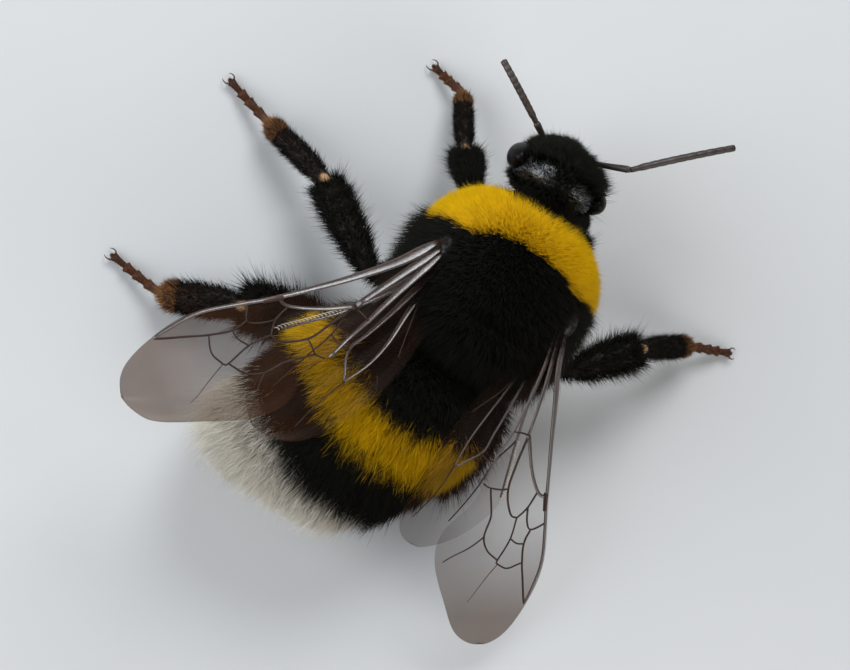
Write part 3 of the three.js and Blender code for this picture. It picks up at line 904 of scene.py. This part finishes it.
class Wing:
    """Where a wing lies: maps shares of its length to places on its bent surface."""

    def __init__(self, name, drawing, root, tip, dip, arch, rear=1.0):
        self.name, self.drawing, self.arch, self.rear = name, drawing, arch, rear
        self.length = drawing["length"]
        self.sign = 1 if name.endswith("left") else -1
        way = (Vector(tip) - Vector(root)).normalized()
        across = way.cross(Vector((0, 0, 1))).normalized()
        across = Matrix.Rotation(self.sign * dip, 3, way) @ across
        self.root, self.way, self.across = (np.array(v) for v in (root, way, across))
        self.down = np.cross(self.way, self.across)
        self.lead = edge_curve(drawing["lead"], drawing["trail"])
        self.trail = edge_curve(drawing["trail"], drawing["lead"])

    def edges_at(self, x):
        """The rear and the front edge at a share of the length."""
        low = np.interp(x, np.maximum.accumulate(self.trail[:, 0]), self.trail[:, 1])
        high = np.interp(x, np.maximum.accumulate(self.lead[:, 0]), self.lead[:, 1])
        return low, high

    def height(self, x, y):
        low, high = self.edges_at(x)
        share = np.clip((y - low) / np.maximum(high - low, 0.02), 0, 1)
        pleats = np.cos(2 * math.pi * PLEATS * share) * (0.11 * np.exp(-2.2 * x) + 0.012)
        waves = 0.05 * np.sin(9 * x + 5 * share) * x
        return 4 * self.arch * x * (1 - x) + (pleats + waves) * np.clip(x / 0.1, 0, 1)

    def point(self, x, y, lift=0.0):
        x, y = np.asarray(x, float), np.asarray(y, float)
        up = self.height(x, y) + lift
        y = np.where(y > REAR_LINE, y, REAR_LINE + (y - REAR_LINE) * self.rear)
        return (self.root + np.multiply.outer(x * self.length, self.way)
                + np.multiply.outer(self.sign * y * self.length, self.across)
                - np.multiply.outer(up, self.down))

    def place_of(self, spots):
        """Shares of the wing's length, and how far above its surface each place is."""
        local = spots - self.root
        x = local @ self.way / self.length
        y = self.sign * (local @ self.across) / self.length
        y = np.where(y > REAR_LINE, y, REAR_LINE + (y - REAR_LINE) / self.rear)
        return x, y, -(local @ self.down) - self.height(np.clip(x, 0, 1), y)

    def pressed(self, spots, roots):
        """Moves what grows below the wing and would poke up through it to just below it."""
        x, y, above = self.place_of(spots)
        low, high = self.edges_at(x)
        covered = (x > 0.1) & (x < 1) & (y > low - 0.01) & (y < high + 0.01)
        covered &= self.place_of(roots)[2] < 0
        push = np.where(covered & (above > -HAIR_GAP) & (above < CAUGHT), above + HAIR_GAP, 0)
        return spots + push[:, None] * self.down


WINGS = [
    Wing("forewing_left", FOREWING, (3.35, -.1, 8.1), (12.85, 13.0, 10.2), .05, .2, rear=.7),
    Wing("hindwing_left", HINDWING, (3.1, 1.0, 7.3), (7.45, 10.95, 9.0), .1, .2),
    Wing("forewing_right", FOREWING, (-3.0, .3, 8.2), (-8.85, 14.0, 1.3), .35, .8),
    Wing("hindwing_right", HINDWING, (-2.9, 1.3, 7.3), (-3.5, 11.2, 3.6), .5, .7),
]


def under_wings(spots, roots):
    for wing in WINGS:
        spots = wing.pressed(spots, roots)
    return spots


print("wings placed:", ", ".join(wing.name for wing in WINGS))

# %% [markdown]
# ### Films and veins
# Near a wing's root the veins are stout, flat and glossy, and farther out they are fine
# threads. So they are two pieces with a finish each, and the film between them is a third.

# %% Make the films
FILM = 0.03  # thickness of the film
HINDWING_SMOKE = 0.66  # hindwings are less smoky than forewings


def film_of(wing):
    bm = bmesh.new()
    bmesh.ops.create_grid(bm, x_segments=84, y_segments=34, size=0.5)
    for vert in bm.verts:
        out, across = vert.co.x + 0.5, vert.co.y + 0.5
        x, y = along_path(wing.trail, out) * (1 - across) + along_path(wing.lead, out) * across
        vert.co = wing.point(x, y)
    bmesh.ops.remove_doubles(bm, verts=bm.verts, dist=0.01)
    bmesh.ops.recalc_face_normals(bm, faces=bm.faces)
    bmesh.ops.solidify(bm, geom=bm.faces[:], thickness=FILM)
    mesh = mesh_of(bm)
    distance = (mesh_points(mesh)[0] - wing.root) @ wing.way
    smoke = 1.0 if wing.drawing is FOREWING else HINDWING_SMOKE
    store(mesh, "outward", smoke * distance / wing.length)
    store(mesh, "far", distance / FOREWING["length"])
    return finish_piece(wing.name + "_film", mesh, WING_FILM, "wing", [wing.name])


BROAD_VEINS = ("front_edge", "middle", "basal", "rear")  # stout glossy ribs near the root


def veins_of(wing):
    ribs, fine = bmesh.new(), bmesh.new()
    rolled = -wing.down + 0.5 * wing.sign * wing.across  # the front edge is rolled forward
    for name, (first, last, places) in wing.drawing["veins"].items():
        line = smooth_path([(x, y, 0) for x, y in places], 5 * (len(places) - 1) + 3)
        spots = wing.point(line[:, 0], line[:, 1])
        radii = np.linspace(first, last, len(line)) * 0.85
        if name in BROAD_VEINS:
            flat = np.interp(line[:, 0], (0.05, 0.55), (5.5, 1.7))
            stout = np.interp(line[:, 0], (0.01, 0.07, 0.4), (0.5, 1.3, 1.0))
            tube(ribs, spots, radii * stout / np.sqrt(flat), sides=10, flat=flat, level=rolled)
        else:
            tube(fine, spots, radii, sides=7, level=-wing.down)
    finish_piece(wing.name + "_ribs", mesh_of(ribs), RIB_SHELL, "wing")
    return finish_piece(wing.name + "_veins", mesh_of(fine), VEIN_SHELL, "wing")


for wing in WINGS:
    film, veins = film_of(wing), veins_of(wing)
    print(wing.name, "film", len(film.data.polygons), "veins", len(veins.data.polygons))

# %% [markdown]
# ### Wing hooks
# The hindwing's front edge carries a short row of pale hooks that catch the forewing, so
# both beat as one. Each is a tiny bent tube.

# %% Hooks on the hindwings
for wing in WINGS[1::2]:
    bm = bmesh.new()
    for x in np.linspace(0.4, 0.68, 20):
        edge = wing.edges_at(x)[1]
        line = [wing.point(x, edge - 0.006), wing.point(x + 0.004, edge + 0.006, 0.08),
                wing.point(x + 0.014, edge + 0.012, 0.05)]
        tube(bm, smooth_path(line, 4), [0.035, 0.03, 0.026, 0.02, 0.01], sides=6)
    finish_piece(wing.name + "_hooks", mesh_of(bm), HOOK_SHELL, "wing")
print("hooks made")

# %% [markdown]
# ## Eyes, feelers and jaws
# These stay pieces of their own, as they are of another make than the skin. The big eyes
# sit half sunk at the sides of the head. Each is a long oval sphere, and the three simple
# eyes on the crown are small glossy domes.

# %% Eyes
SIDES = (("left", 1), ("right", -1))
EYE_HALF = Vector((0.60, 0.66, 1.42))


def eye_form(spot):
    """A long oval, a little thinner toward the crown."""
    thin = 1 - 0.1 * spot.z
    return Vector((spot.x * EYE_HALF.x, spot.y * EYE_HALF.y * thin, spot.z * EYE_HALF.z))


for side, sign in SIDES:
    turn = Matrix.Rotation(-0.22, 4, "X") @ Matrix.Rotation(sign * 0.14, 4, "Y")
    place = Matrix.Translation(HEAD_PLACE @ Vector((sign * 1.95, -0.06, 0.35))) @ turn
    bm = bmesh.new()
    ball(bm, lambda spot: place @ eye_form(spot))
    finish_piece("big_eye_" + side, mesh_of(bm), EYE, "eye", ["eye_" + side])
bm = bmesh.new()
for side, forward, up in SIMPLE_EYES:
    ball(bm, lump(HEAD_PLACE @ Vector((side, forward, up + 0.03)), (0.13, 0.13, 0.14)), 24, 16)
finish_piece("simple_eyes", mesh_of(bm), EYE, "eye")
print("eyes made")

# %% [markdown]
# ### Feelers
# A queen's feeler has a long first joint, the scape, a tiny hinge and ten short rings.
# Each is a tube through the same bends as the solid's, and its radius dips between rings.

# %% Feelers
FEELERS = {
    "left": ((1.19, -6.94, 5.8), (2.4, -7.36, 6.8), (3.8, -8.0, 7.5), (5.19, -8.88, 7.2)),
    "right": ((-0.9, -7.3, 5.8), (-2.43, -7.74, 7.2), (-4.1, -9.4, 7.5), (-6.29, -11.37, 6.6)),
}
RING_SHAPE = ((0.0, 0.9), (0.1, 0.98), (0.5, 1.02), (0.88, 1.0))
for side, (socket, elbow, bend, tip) in FEELERS.items():
    socket, elbow, bend, tip = (Vector(spot) for spot in (socket, elbow, bend, tip))
    bm = bmesh.new()
    shares = (0, 0.08, 0.16, 0.5, 0.9, 1.0)
    tube(bm, [socket.lerp(elbow, share) for share in shares], (0.10, 0.17, 0.13, 0.145, 0.17, 0.12), 16)
    finish_piece(f"feeler_{side}_scape", mesh_of(bm), ANTENNA_SHELL, "limb", [f"antenna_{side}_scape"])
    bm = bmesh.new()
    places, radii = [], []
    for ring in range(11):
        for share, swell in RING_SHAPE:
            places.append((ring + share) / 11)
            thick = 0.13 if ring == 0 else 0.155 + 0.012 * math.sin(math.pi * places[-1])
            radii.append(thick * swell)
    places, radii = places + [0.985, 1.0], radii + [0.12, 0.05]
    tube(bm, [elbow.lerp(bend, t).lerp(bend.lerp(tip, t), t) for t in places], radii, 16)
    name = f"antenna_{side}_flagellum"
    finish_piece(f"feeler_{side}_rings", mesh_of(bm), ANTENNA_SHELL, "limb", [name])
print("feelers made")

# %% [markdown]
# ### Jaws and tongue sheath
# The jaws are short spoon-shaped blades that close below the face. Behind them the
# tongue is folded back under the head in a brown sheath.

# %% Jaws
def blade(sign):
    turn = Matrix.Rotation(0.1, 4, "X") @ Matrix.Rotation(sign * 0.42, 4, "Y")
    place = Matrix.Translation(HEAD_PLACE @ Vector((sign * 0.62, -0.4, -2.6))) @ turn

    def reshape(spot):
        """Bent inward, and narrower and thinner toward the tip."""
        down = -spot.z
        wide = 0.40 * (1 - 0.25 * soft(down, -0.2, 1))
        thick = 0.26 * (1 - 0.45 * soft(down, -0.3, 1))
        groove = 0.03 * math.cos(9 * spot.x) * (spot.y < 0)
        inward = sign * 0.12 * down * down
        return place @ Vector((spot.x * wide - inward, spot.y * thick + groove, spot.z * 0.9))
    return reshape


for side, sign in SIDES:
    bm = bmesh.new()
    ball(bm, blade(sign), 36, 28)
    finish_piece(f"jaw_{side}", mesh_of(bm), MOUTH_SHELL, "shell", [f"mandible_{side}"])
bm = bmesh.new()
sheath = smooth_path([(0, -6.7, 2.75), (0, -6.2, 2.15), (0, -5.2, 1.95), (0.1, -4.3, 2.3)], 12)
tube(bm, sheath, 0.3 * np.sin(np.linspace(0.5, 2.6, 13)), 14, flat=1.4)
finish_piece("tongue_sheath", mesh_of(bm), MOUTH_SHELL, "shell")
print("jaws made")

# %% [markdown]
# ### Wing caps
# A small polished cap, the tegula, covers the root of each pair of wings like a shoulder
# plate.

# %% Wing caps
CAP_HALF = (0.45, 0.64, 0.28)
for side, sign in SIDES:
    place = Matrix.Translation((sign * 3.35, -0.05, 7.88)) @ Matrix.Rotation(sign * 0.75, 4, "Y")
    bm = bmesh.new()
    ball(bm, lambda spot: place @ lump((0, 0, 0), CAP_HALF)(spot), 40, 24)
    finish_piece(f"wing_cap_{side}", mesh_of(bm), CAP_SHELL, "shell", [f"tegula_{side}"])
print("wing caps made")

# %% [markdown]
# ## Legs
# Every leg is hip, thigh, shin, a long first foot piece and four short ones with a pair of
# claws. Thigh, shin and first foot piece are separate tubes in their true shape: narrow at
# each joint, and the shin broad toward its end. A fine Remesh then wraps them into one
# skin, so that the joints are smooth necks and not crossing tubes. A pale bare knob, on
# which the foot turns, shows at the shin's end. The little foot pieces stay crisp tubes.

# %% Leg measures
FLOOR_GAP = 0.15  # height of the claws' joint
# each leg: its size, then where its hip, knee, ankle, heel and claws are
LEGS = {
    "front_left": (0.85, (1.6, -2.6, 2.4), (2.6, -3.7, 3.0), (3.86, -5.49, 2.1), (5.11, -8.0, .95),
                   (6.95, -8.53, FLOOR_GAP)),
    "front_right": (0.85, (-1.0, -1.2, 1.8), (-2.9, -3.0, 1.95), (-3.0, -5.1, 1.45), (-2.4, -6.5, .8),
                    (-1.4, -7.7, FLOOR_GAP)),
    "middle_left": (1.0, (2.4, 0.6, 2.1), (4.9, 2.0, 3.35), (8.86, -0.81, 2.2), (12.32, -1.91, .95),
                    (14.96, -2.85, FLOOR_GAP)),
    "middle_right": (1.0, (-2.6, 0.4, 1.9), (-5.1, 1.3, 4.3), (-7.94, -1.66, 3.3), (-10.46, -3.4, 1.15),
                     (-12.8, -4.38, FLOOR_GAP)),
    "hind_left": (1.15, (1.8, 2.2, 1.8), (5.2, 4.7, 1.8), (9.15, 6.19, 1.75), (12.55, 7.54, .9),
                  (15.53, 7.04, FLOOR_GAP)),
    "hind_right": (1.15, (-1.3, 2.0, 1.7), (-4.1, 4.6, 1.7), (-2.6, 8.7, 1.15), (0.0, 11.2, .7),
                   (2.3, 12.3, FLOOR_GAP)),
}
# radius along each piece, from joint to joint: (share, radius)
THIGH = ((0, .3), (.08, .4), (.16, .3), (.3, .42), (.6, .44), (.88, .34), (1.02, .2))
SHIN = ((-.02, .16), (.04, .3), (.2, .42), (.5, .56), (.8, .62), (.95, .52), (1.0, .2))
LONG_FOOT = ((-.02, .16), (.06, .3), (.25, .4), (.6, .41), (.9, .35), (1.0, .15))
FOOT_PIECES = ((0, .24), (.22, .44), (.42, .62), (.60, .9))  # where each short piece starts and ends
FOOT_SHAPE = ((0, .09), (.12, .15), (.6, .18), (.9, .23), (1, .15))
KNOB_HALF, KNOB_RISE = (0.23, 0.23, 0.2), 0.27  # the ankle's knob, and how far it stands up
print("legs measured:", len(LEGS))

# %% [markdown]
# ### How far down a leg
# Colour and hair change along a leg, round its bends. So every place on it is given a
# number: 0 at the hip, 1 at the claws. A texture along one axis could not follow the
# bends. The knob at the ankle is pale and bare, so it's marked as well.

# %% Tools for legs
LEG_MARKS = (0, .3, .55, .75, 1)  # how far down the leg hip, knee, ankle, heel and claws are


def limb(bm, start, end, profile, size, flat=1.0):
    """A tube between two joints, with its radius read from a profile."""
    places, widths = zip(*profile)
    shares = np.interp(np.linspace(0, 1, 4 * len(profile)), np.linspace(0, 1, len(profile)), places)
    radii = np.interp(shares, places, widths)
    tube(bm, [start.lerp(end, share) for share in shares], radii * size, 20, flat)


def way_down(spots, joints):
    """How far down its leg each place is, on the scale of LEG_MARKS."""
    best, found = np.full(len(spots), 1e9), np.zeros(len(spots))
    for (start, end), (low, high) in zip(zip(joints, joints[1:]), zip(LEG_MARKS, LEG_MARKS[1:])):
        start, run = np.array(start), np.array(end - start)
        share = np.clip((spots - start) @ run / (run @ run), 0, 1)
        gap = np.linalg.norm(spots - start - share[:, None] * run, axis=1)
        nearer = gap < best
        best = np.where(nearer, gap, best)
        found = np.where(nearer, low + share * (high - low), found)
    return found


def near_knob(spots, knob, reach):
    """1 on the pale knob that the ankle turns on, and 0 away from it."""
    return np.exp(-(np.linalg.norm(spots - np.array(knob), axis=1) / reach) ** 6)


def store_leg_values(mesh, joints, knob):
    """What the leg's finish reads: the way down the leg, and where it is pale."""
    spots = mesh_points(mesh)[0]
    down = way_down(spots, joints)
    store(mesh, "down", down)
    heel = np.exp(-((down - LEG_MARKS[3]) / .011) ** 2)
    store(mesh, "joint", np.maximum(near_knob(spots, knob, 0.27), 0.4 * heel))


# %% [markdown]
# ### Thigh, shin and long foot piece
# Three tubes and the knob go into one bmesh, and the net is drawn around them. The solids
# of these three pieces are all replaced by the one leg.

# %% Build the legs
leg_skins = {}
for leg, (size, *spots) in LEGS.items():
    joints = [Vector(spot) for spot in spots]
    hip, knee, ankle, heel, claws = joints
    broad = 1.5 if leg.startswith("hind") else 1.15
    bm = bmesh.new()
    limb(bm, hip, knee, THIGH, size)
    limb(bm, knee, ankle, SHIN, size, broad)
    limb(bm, ankle, heel, LONG_FOOT, size, broad)
    rolled = -1 if leg == "front_right" else 1  # this one is tucked under, knob downward
    knob = ankle + Vector((0, 0, KNOB_RISE * size * rolled))
    ball(bm, lump(knob, KNOB_HALF), 16, 12)
    mesh = wrapped(bm, 0.065, 2)
    store_leg_values(mesh, joints, knob)
    leg_skins[leg] = (Skin(mesh), joints, knob)
    solids = [f"leg_{leg}_{part}" for part in ("femur", "tibia", "basitarsus")]
    finish_piece(f"leg_{leg}", mesh, LEG_SHELL, "limb", solids)
print("legs:", ", ".join(leg_skins))

# %% [markdown]
# ### Feet
# Four short pieces, each wider at its far end, run down to the floor, and the last one
# carries two curved claws with a small pad between them.

# %% Feet and claws
def foot_path(heel, claws):
    """From the heel down to the floor, with a slight sag."""
    middle = heel.lerp(claws, 0.55) - Vector((0, 0, 0.10 * (heel.z - claws.z)))
    return smooth_path([heel, middle, claws + Vector((0, 0, 0.06))], 40)


foot_skins = {}
for leg, (_, joints, knob) in leg_skins.items():
    heel, claws = joints[3], joints[4]
    path = foot_path(heel, claws)
    bm = bmesh.new()
    for start, (first, last) in enumerate(FOOT_PIECES):
        spots = [along_path(path, first + share * (last - first)) for share, _ in FOOT_SHAPE]
        thin = 0.8 if start == 3 else 1.0
        tube(bm, spots, [radius * thin for _, radius in FOOT_SHAPE], 14, 1.15)
    before, ankle_end, end = (Vector(along_path(path, share)) for share in (0.8, 0.87, 1.0))
    ahead = (end - before).normalized()
    sideways = Vector((0, 0, 1)).cross(ahead).normalized()
    ball(bm, lump(ankle_end + 0.12 * ahead, (0.1, 0.1, 0.07)), 14, 10)
    mesh = mesh_of(bm)
    store_leg_values(mesh, joints, knob)
    foot_skins[leg] = Skin(mesh)
    finish_piece(f"foot_{leg}", mesh, LEG_SHELL, "toes", [f"leg_{leg}_tarsus"])
    bm = bmesh.new()
    for sign in (1, -1):
        out = ankle_end + 0.10 * ahead + sign * 0.10 * sideways
        hook = [ankle_end + sign * 0.05 * sideways, out + 0.14 * sign * sideways + Vector((0, 0, 0.06)),
                out + 0.18 * ahead + 0.16 * sign * sideways, out + 0.30 * ahead + 0.1 * sign * sideways]
        hook[-1].z = hook[-2].z - 0.12
        for spot in hook:
            spot.z = max(spot.z, 0.05)
        tube(bm, smooth_path(hook, 9), np.linspace(0.055, 0.012, 10), 10)
    finish_piece(f"claws_{leg}", mesh_of(bm), CLAW_SHELL, "toes")
print("feet made")

# %% [markdown]
# ## Putting the coat on
# Each region gets its own piece with its own hair: short and dense on the collar, longer
# and lying back on the abdomen, shortest on the face and feet. `flow` is the direction
# that hairs lie in before it is laid flat on the skin.

# %% Lie of the coat
rng = np.random.default_rng(11)
skin = Skin(skin_mesh)


def head_unwrap(spots, normals):
    """The angle round the head's upright axis, and the height."""
    x, y, z = local_to(HEAD_PLACE, spots).T
    return np.arctan2(x, -y) / (2 * math.pi) + 0.5, z


def thorax_flow(spots):
    """Backward, fanning out to the sides and down over the flanks."""
    local = spots - np.array(THORAX_MIDDLE)
    return np.column_stack([0.22 * local[:, 0], np.ones(len(local)), -0.12 * np.abs(local[:, 0])])


def tail_flow(spots):
    return np.tile(np.array(TAIL_WAY), (len(spots), 1))


def head_flow(spots):
    """Face hairs fan down and outward from between the feelers, and up over the brow."""
    x, y, z = local_to(HEAD_PLACE, spots).T
    up = 0.85 * np.clip((z - 0.5) / 0.7, -1, 1)
    return np.column_stack([0.5 * x, -0.5 * np.ones(len(x)), up])


ON_THORAX = (thorax_flow, unwrap_round(Matrix.Translation(THORAX_MIDDLE)))
ON_ABDOMEN = (tail_flow, unwrap_round(ABDOMEN_PLACE))
print("skin triangles for roots:", len(skin.corners))

# %% [markdown]
# ### How thick and how long the coat is
# Hair is thinner on the underside. Its length, lean and width are set for each region,
# and then it grows longer or shorter from place to place, as on the living bee. Where two
# colours meet, hairs of both mix over a short way, or the border would look cut.

# %% Coat of the body
THIN_BELOW = 0.45  # how thick the coat is on the underside, against 1 above


def region_weight(name):
    """Fewer hairs on the underside, where a bumblebee's coat is thin. Near a border the
    hairs of both sides mix: each place is judged a little before or behind itself."""
    def weight(spots):
        _, y, z = spots.T
        middle = np.where(y > 4, 4.0 - 0.15 * (y - 4), 5.0)
        above = np.clip((z - middle + 2.2) / 1.5, THIN_BELOW, 1)
        mixing = np.where(y > 4, 0.26, 0.1)
        judged = spots + (mixing * rng.normal(0, 1, len(spots)))[:, None] * np.array(TAIL_WAY)
        return regions(judged)[name] * above + 1e-12
    return weight


# lean is in degrees from upright, for a hair's lower and upper half. gather is how far its
# tip is drawn to the middle of its lock, and lock how wide that is
HAIR_LOOKS = {
    "collar": dict(length=0.95, lean=(20, 34), width=.034, gather=.2, lock=.12, swing=.6, straight=True),
    "thorax": dict(length=1.05, lean=(26, 44), width=.034, gather=.25, lock=.16, swing=.5, stray=.35,
                   straight=True),
    "plate_1": dict(length=1.75, lean=(30, 58), width=.042, gather=.4, lock=.22),
    "plate_2": dict(length=1.7, lean=(40, 64), width=.042, gather=.45, lock=.22),
    "plate_3": dict(length=1.85, lean=(40, 64), width=.04, gather=.4, lock=.2),
    "tail": dict(length=1.9, lean=(32, 56), width=.036, gather=.42, lock=.2, swing=.45, stray=.45),
    "tip": dict(length=0.7, lean=(40, 60), width=.032, straight=True),
}
# each region: how many hairs, their finish and slot, how they lie and how they're unwrapped
COATS = {
    "collar": (42000, YELLOW_COAT, "yellow_coat", *ON_THORAX),
    "thorax": (46000, BLACK_COAT, "black_coat", *ON_THORAX),
    "plate_1": (15000, BLACK_COAT, "black_coat", *ON_ABDOMEN),
    "plate_2": (19500, YELLOW_BAND, "yellow_coat", *ON_ABDOMEN),
    "plate_3": (18500, BLACK_COAT, "black_coat", *ON_ABDOMEN),
    "tail": (19500, WHITE_COAT, "white_coat", *ON_ABDOMEN),
    "tip": (2500, BROWN_COAT, "black_coat", *ON_ABDOMEN),
}


def varied_look(region, spots):
    """A region's look, with the hair's length varied from place to place."""
    look = dict(HAIR_LOOKS[region])
    x, y, z = spots.T
    across, behind, _ = local_to(ABDOMEN_PLACE, spots).T
    past_white = past_borders(spots)[2]
    if region == "thorax":  # longer at the rear, where it hangs over the waist, and on the flanks
        look["length"] *= 1 + 0.6 * fade(y, 1.2, 1.6)
        look["length"] *= 1 + 0.5 * fade(np.abs(x), 2.4, 1.2) * fade(-z, -7, 1.5)
    if region == "plate_3":  # flat under the left wings, and long where it lies over the white
        look["length"] *= 1 - 0.13 * np.clip(across - 2, 0, 2)
        look["length"] *= 1 + 0.15 * np.clip(1 + past_white, 0, 1)
    if region == "tail":  # longest on the left, short on the very tip and below the black hairs
        look["length"] *= 1 + 0.12 * np.clip(across - 2, -1, 2)
        look["length"] *= 0.55 + 0.45 * fade(past_white, 0, 1.1)
        look["length"] *= 1 - 0.5 * fade(behind, 8.3, 1.3)
    return look


for region, (count, finish, slot, flow, unwrap) in COATS.items():
    roots = skin.roots(count, region_weight(region), rng)
    look = varied_look(region, roots[0])
    grow("coat_" + region, roots, flow(roots[0]), look, unwrap, rng, finish, slot)

# %% [markdown]
# ### Hair of the head
# The face wears the shortest pile, and the brow a longer, uneven tuft. The polished crown
# and the eyes stay almost bare, so the chance of a root falls to nothing there.

# %% Coat of the head
def hill_array(x, y, wide, tall):
    return np.exp(-(x / wide) ** 2 - (y / tall) ** 2)


def head_weight(spots):
    x, y, z = local_to(HEAD_PLACE, spots).T
    clear = 1 - 0.93 * head_crown(spots)
    eyes = 1 - hill_array(np.abs(x) - 1.9, z - 0.35, 0.4, 1.4) * (np.abs(y + 0.1) < 0.8)
    tuft = 0.6 + 0.8 * (z > 0.9) * (y < -0.7)
    return regions(spots)["head"] * np.clip(clear * eyes, 0, 1) * tuft + 1e-12


roots = skin.roots(21000, head_weight, rng)
crest = fade(local_to(HEAD_PLACE, roots[0])[:, 2], 0.2, 1.2)
face_look = dict(length=0.5 + 0.5 * crest * rng.uniform(0.4, 1.6, len(crest)), lean=(20, 40),
                 width=.034, gather=.5, lock=.26, swing=.6, stray=.6, straight=True)
grow("coat_head", roots, head_flow(roots[0]), face_look, head_unwrap, rng, BLACK_COAT, "black_coat")

# %% [markdown]
# ### Dressing the skin
# The skin takes the place of all the flesh nodes at once. Its points were read for the
# hairs before this step, because `finish_piece` turns the mesh itself into metres.

# %% The skin itself
FLESH = ["thorax", "head", "abdomen_plate_1", "abdomen_plate_2", "abdomen_plate_3",
         "abdomen_plates_4_5", "abdomen_tip"]
finish_piece("skin", skin_mesh, SKIN, "shell", FLESH)
print("skin stands for", len(FLESH), "nodes")

# %% [markdown]
# ### Hair of the legs
# Legs wear short bristles that point to the foot, black above and rust brown on the feet.
# The shins carry a longer fringe along their edges.

# %% Coat of the legs
def limb_unwrap(joints):
    def unwrap(spots, normals):
        return np.arctan2(normals[:, 0], normals[:, 2]) / (2 * math.pi) + 0.5, way_down(spots, joints)
    return unwrap


def limb_flow(spots, joints):
    down = way_down(spots, joints)
    ways = np.array([(end - start).normalized() for start, end in zip(joints, joints[1:])])
    return ways[np.searchsorted(LEG_MARKS[1:-1], down)]


def on_shin_edge(spots, knee, ankle):
    """True along both edges of the shin, as seen from above."""
    sideways = Vector((0, 0, 1)).cross(ankle - knee).normalized()
    return np.abs((spots - np.array(knee)) @ np.array(sideways)) > 0.45


def bristles(leg, part, skin, count, look, finish, low, high):
    """Hair on one stretch of a leg, from low to high on the scale of LEG_MARKS."""
    joints, knob = leg_skins[leg][1:]

    def weight(spots):
        down = way_down(spots, joints)
        chance = (down > low) * (down < high) * (1 - near_knob(spots, knob, 0.42))
        if part == "fringe":
            chance = chance * on_shin_edge(spots, joints[1], joints[2])
        return chance + 1e-12
    roots = skin.roots(count, weight, rng)
    flow = limb_flow(roots[0], joints)
    grow(f"coat_{leg}_{part}", roots, flow, look, limb_unwrap(joints), rng, finish, "limb")


FRINGE = {"front": 0.65, "middle": 0.85, "hind": 1.35}  # longest round the hind shin's basket
for leg, (size, *_) in LEGS.items():
    shell = leg_skins[leg][0]
    fringe = FRINGE[leg.split("_")[0]]
    thick = 5400 if leg == "middle_right" else 7200  # the shell shows through on this one
    # each stretch: hairs, finish, where it starts and ends, then their length, width and lean
    for part, skin, count, finish, low, high, length, width, lean in (
        ("thigh_and_shin", shell, thick, BLACK_COAT, 0.02, 0.551, 0.62 * size, .032, (34, 50)),
        ("fringe", shell, 600, BLACK_COAT, 0.33, 0.54, fringe, .03, (22, 38)),
        ("long_foot", shell, 3200, BLACK_COAT, 0.553, 0.73, 0.42 * size, .028, (36, 54)),
        ("heel", shell, 1200, BROWN_COAT, 0.70, 0.78, 0.36 * size, .028, (34, 50)),
        ("toes", foot_skins[leg], 500, BROWN_COAT, 0.76, 0.985, 0.17, .022, (25, 40)),
    ):
        look = dict(length=length, lean=lean, width=width, swing=.45, stray=.6, straight=True)
        bristles(leg, part, skin, count, look, finish, low, high)
print("triangles of coat:", coat_triangles)

# %% [markdown]
# ## Floor and light
# A plain pale floor lies just under the feet. Light comes from three round soft panels, in
# front, on the left and on the right, and from an even pale sky, as in a photographer's
# tent. So the shell shows broad soft highlights and the hair stays readable.

# %% Floor and lamps
floor_mesh = bpy.data.meshes.new("floor")
bm = bmesh.new()
bmesh.ops.create_grid(bm, x_segments=1, y_segments=1, size=1.5)
bm.to_mesh(floor_mesh)
bm.free()
floor = placed("floor", floor_mesh)
paper, tree, shader = nodes_for("pale_paper", 0.5)
shader.inputs["Roughness"].default_value = 0.8
link(tree, ramp(tree, grain(tree, 40), (0.3, (0.46, 0.46, 0.46)), (0.7, (0.49, 0.487, 0.482))),
     shader.inputs["Base Color"])
floor_mesh.materials.append(paper)


def panel(name, spot, target, size, power, colour):
    """A round lamp at a spot, in metres, turned to its target."""
    data = bpy.data.lights.new(name, "AREA")
    data.shape, data.size, data.energy, data.color = "DISK", size, power, colour
    lamp = placed(name, data)
    lamp.location = spot
    lamp.rotation_euler = (Vector(target) - Vector(spot)).to_track_quat("-Z", "Y").to_euler()


panel("front_panel", (0.04, -0.147, 0.15), (0, 0, 0.004), 0.12, 0.38, (0.93, 0.97, 1.0))
panel("left_panel", (0.17, 0.08, 0.11), (0.002, -0.004, 0.006), 0.22, 0.58, (0.88, 0.94, 1.0))
panel("right_panel", (-0.16, 0.06, 0.10), (0, 0, 0.004), 0.14, 0.17, (1.0, 0.97, 0.93))
world = bpy.data.worlds.new("studio")
scene.world = world
world.use_nodes = True
sky = world.node_tree.nodes["Background"]
sky.inputs["Color"].default_value = (0.86, 0.89, 0.93, 1)
sky.inputs["Strength"].default_value = 0.34
print("lamps:", len(bpy.data.lights))
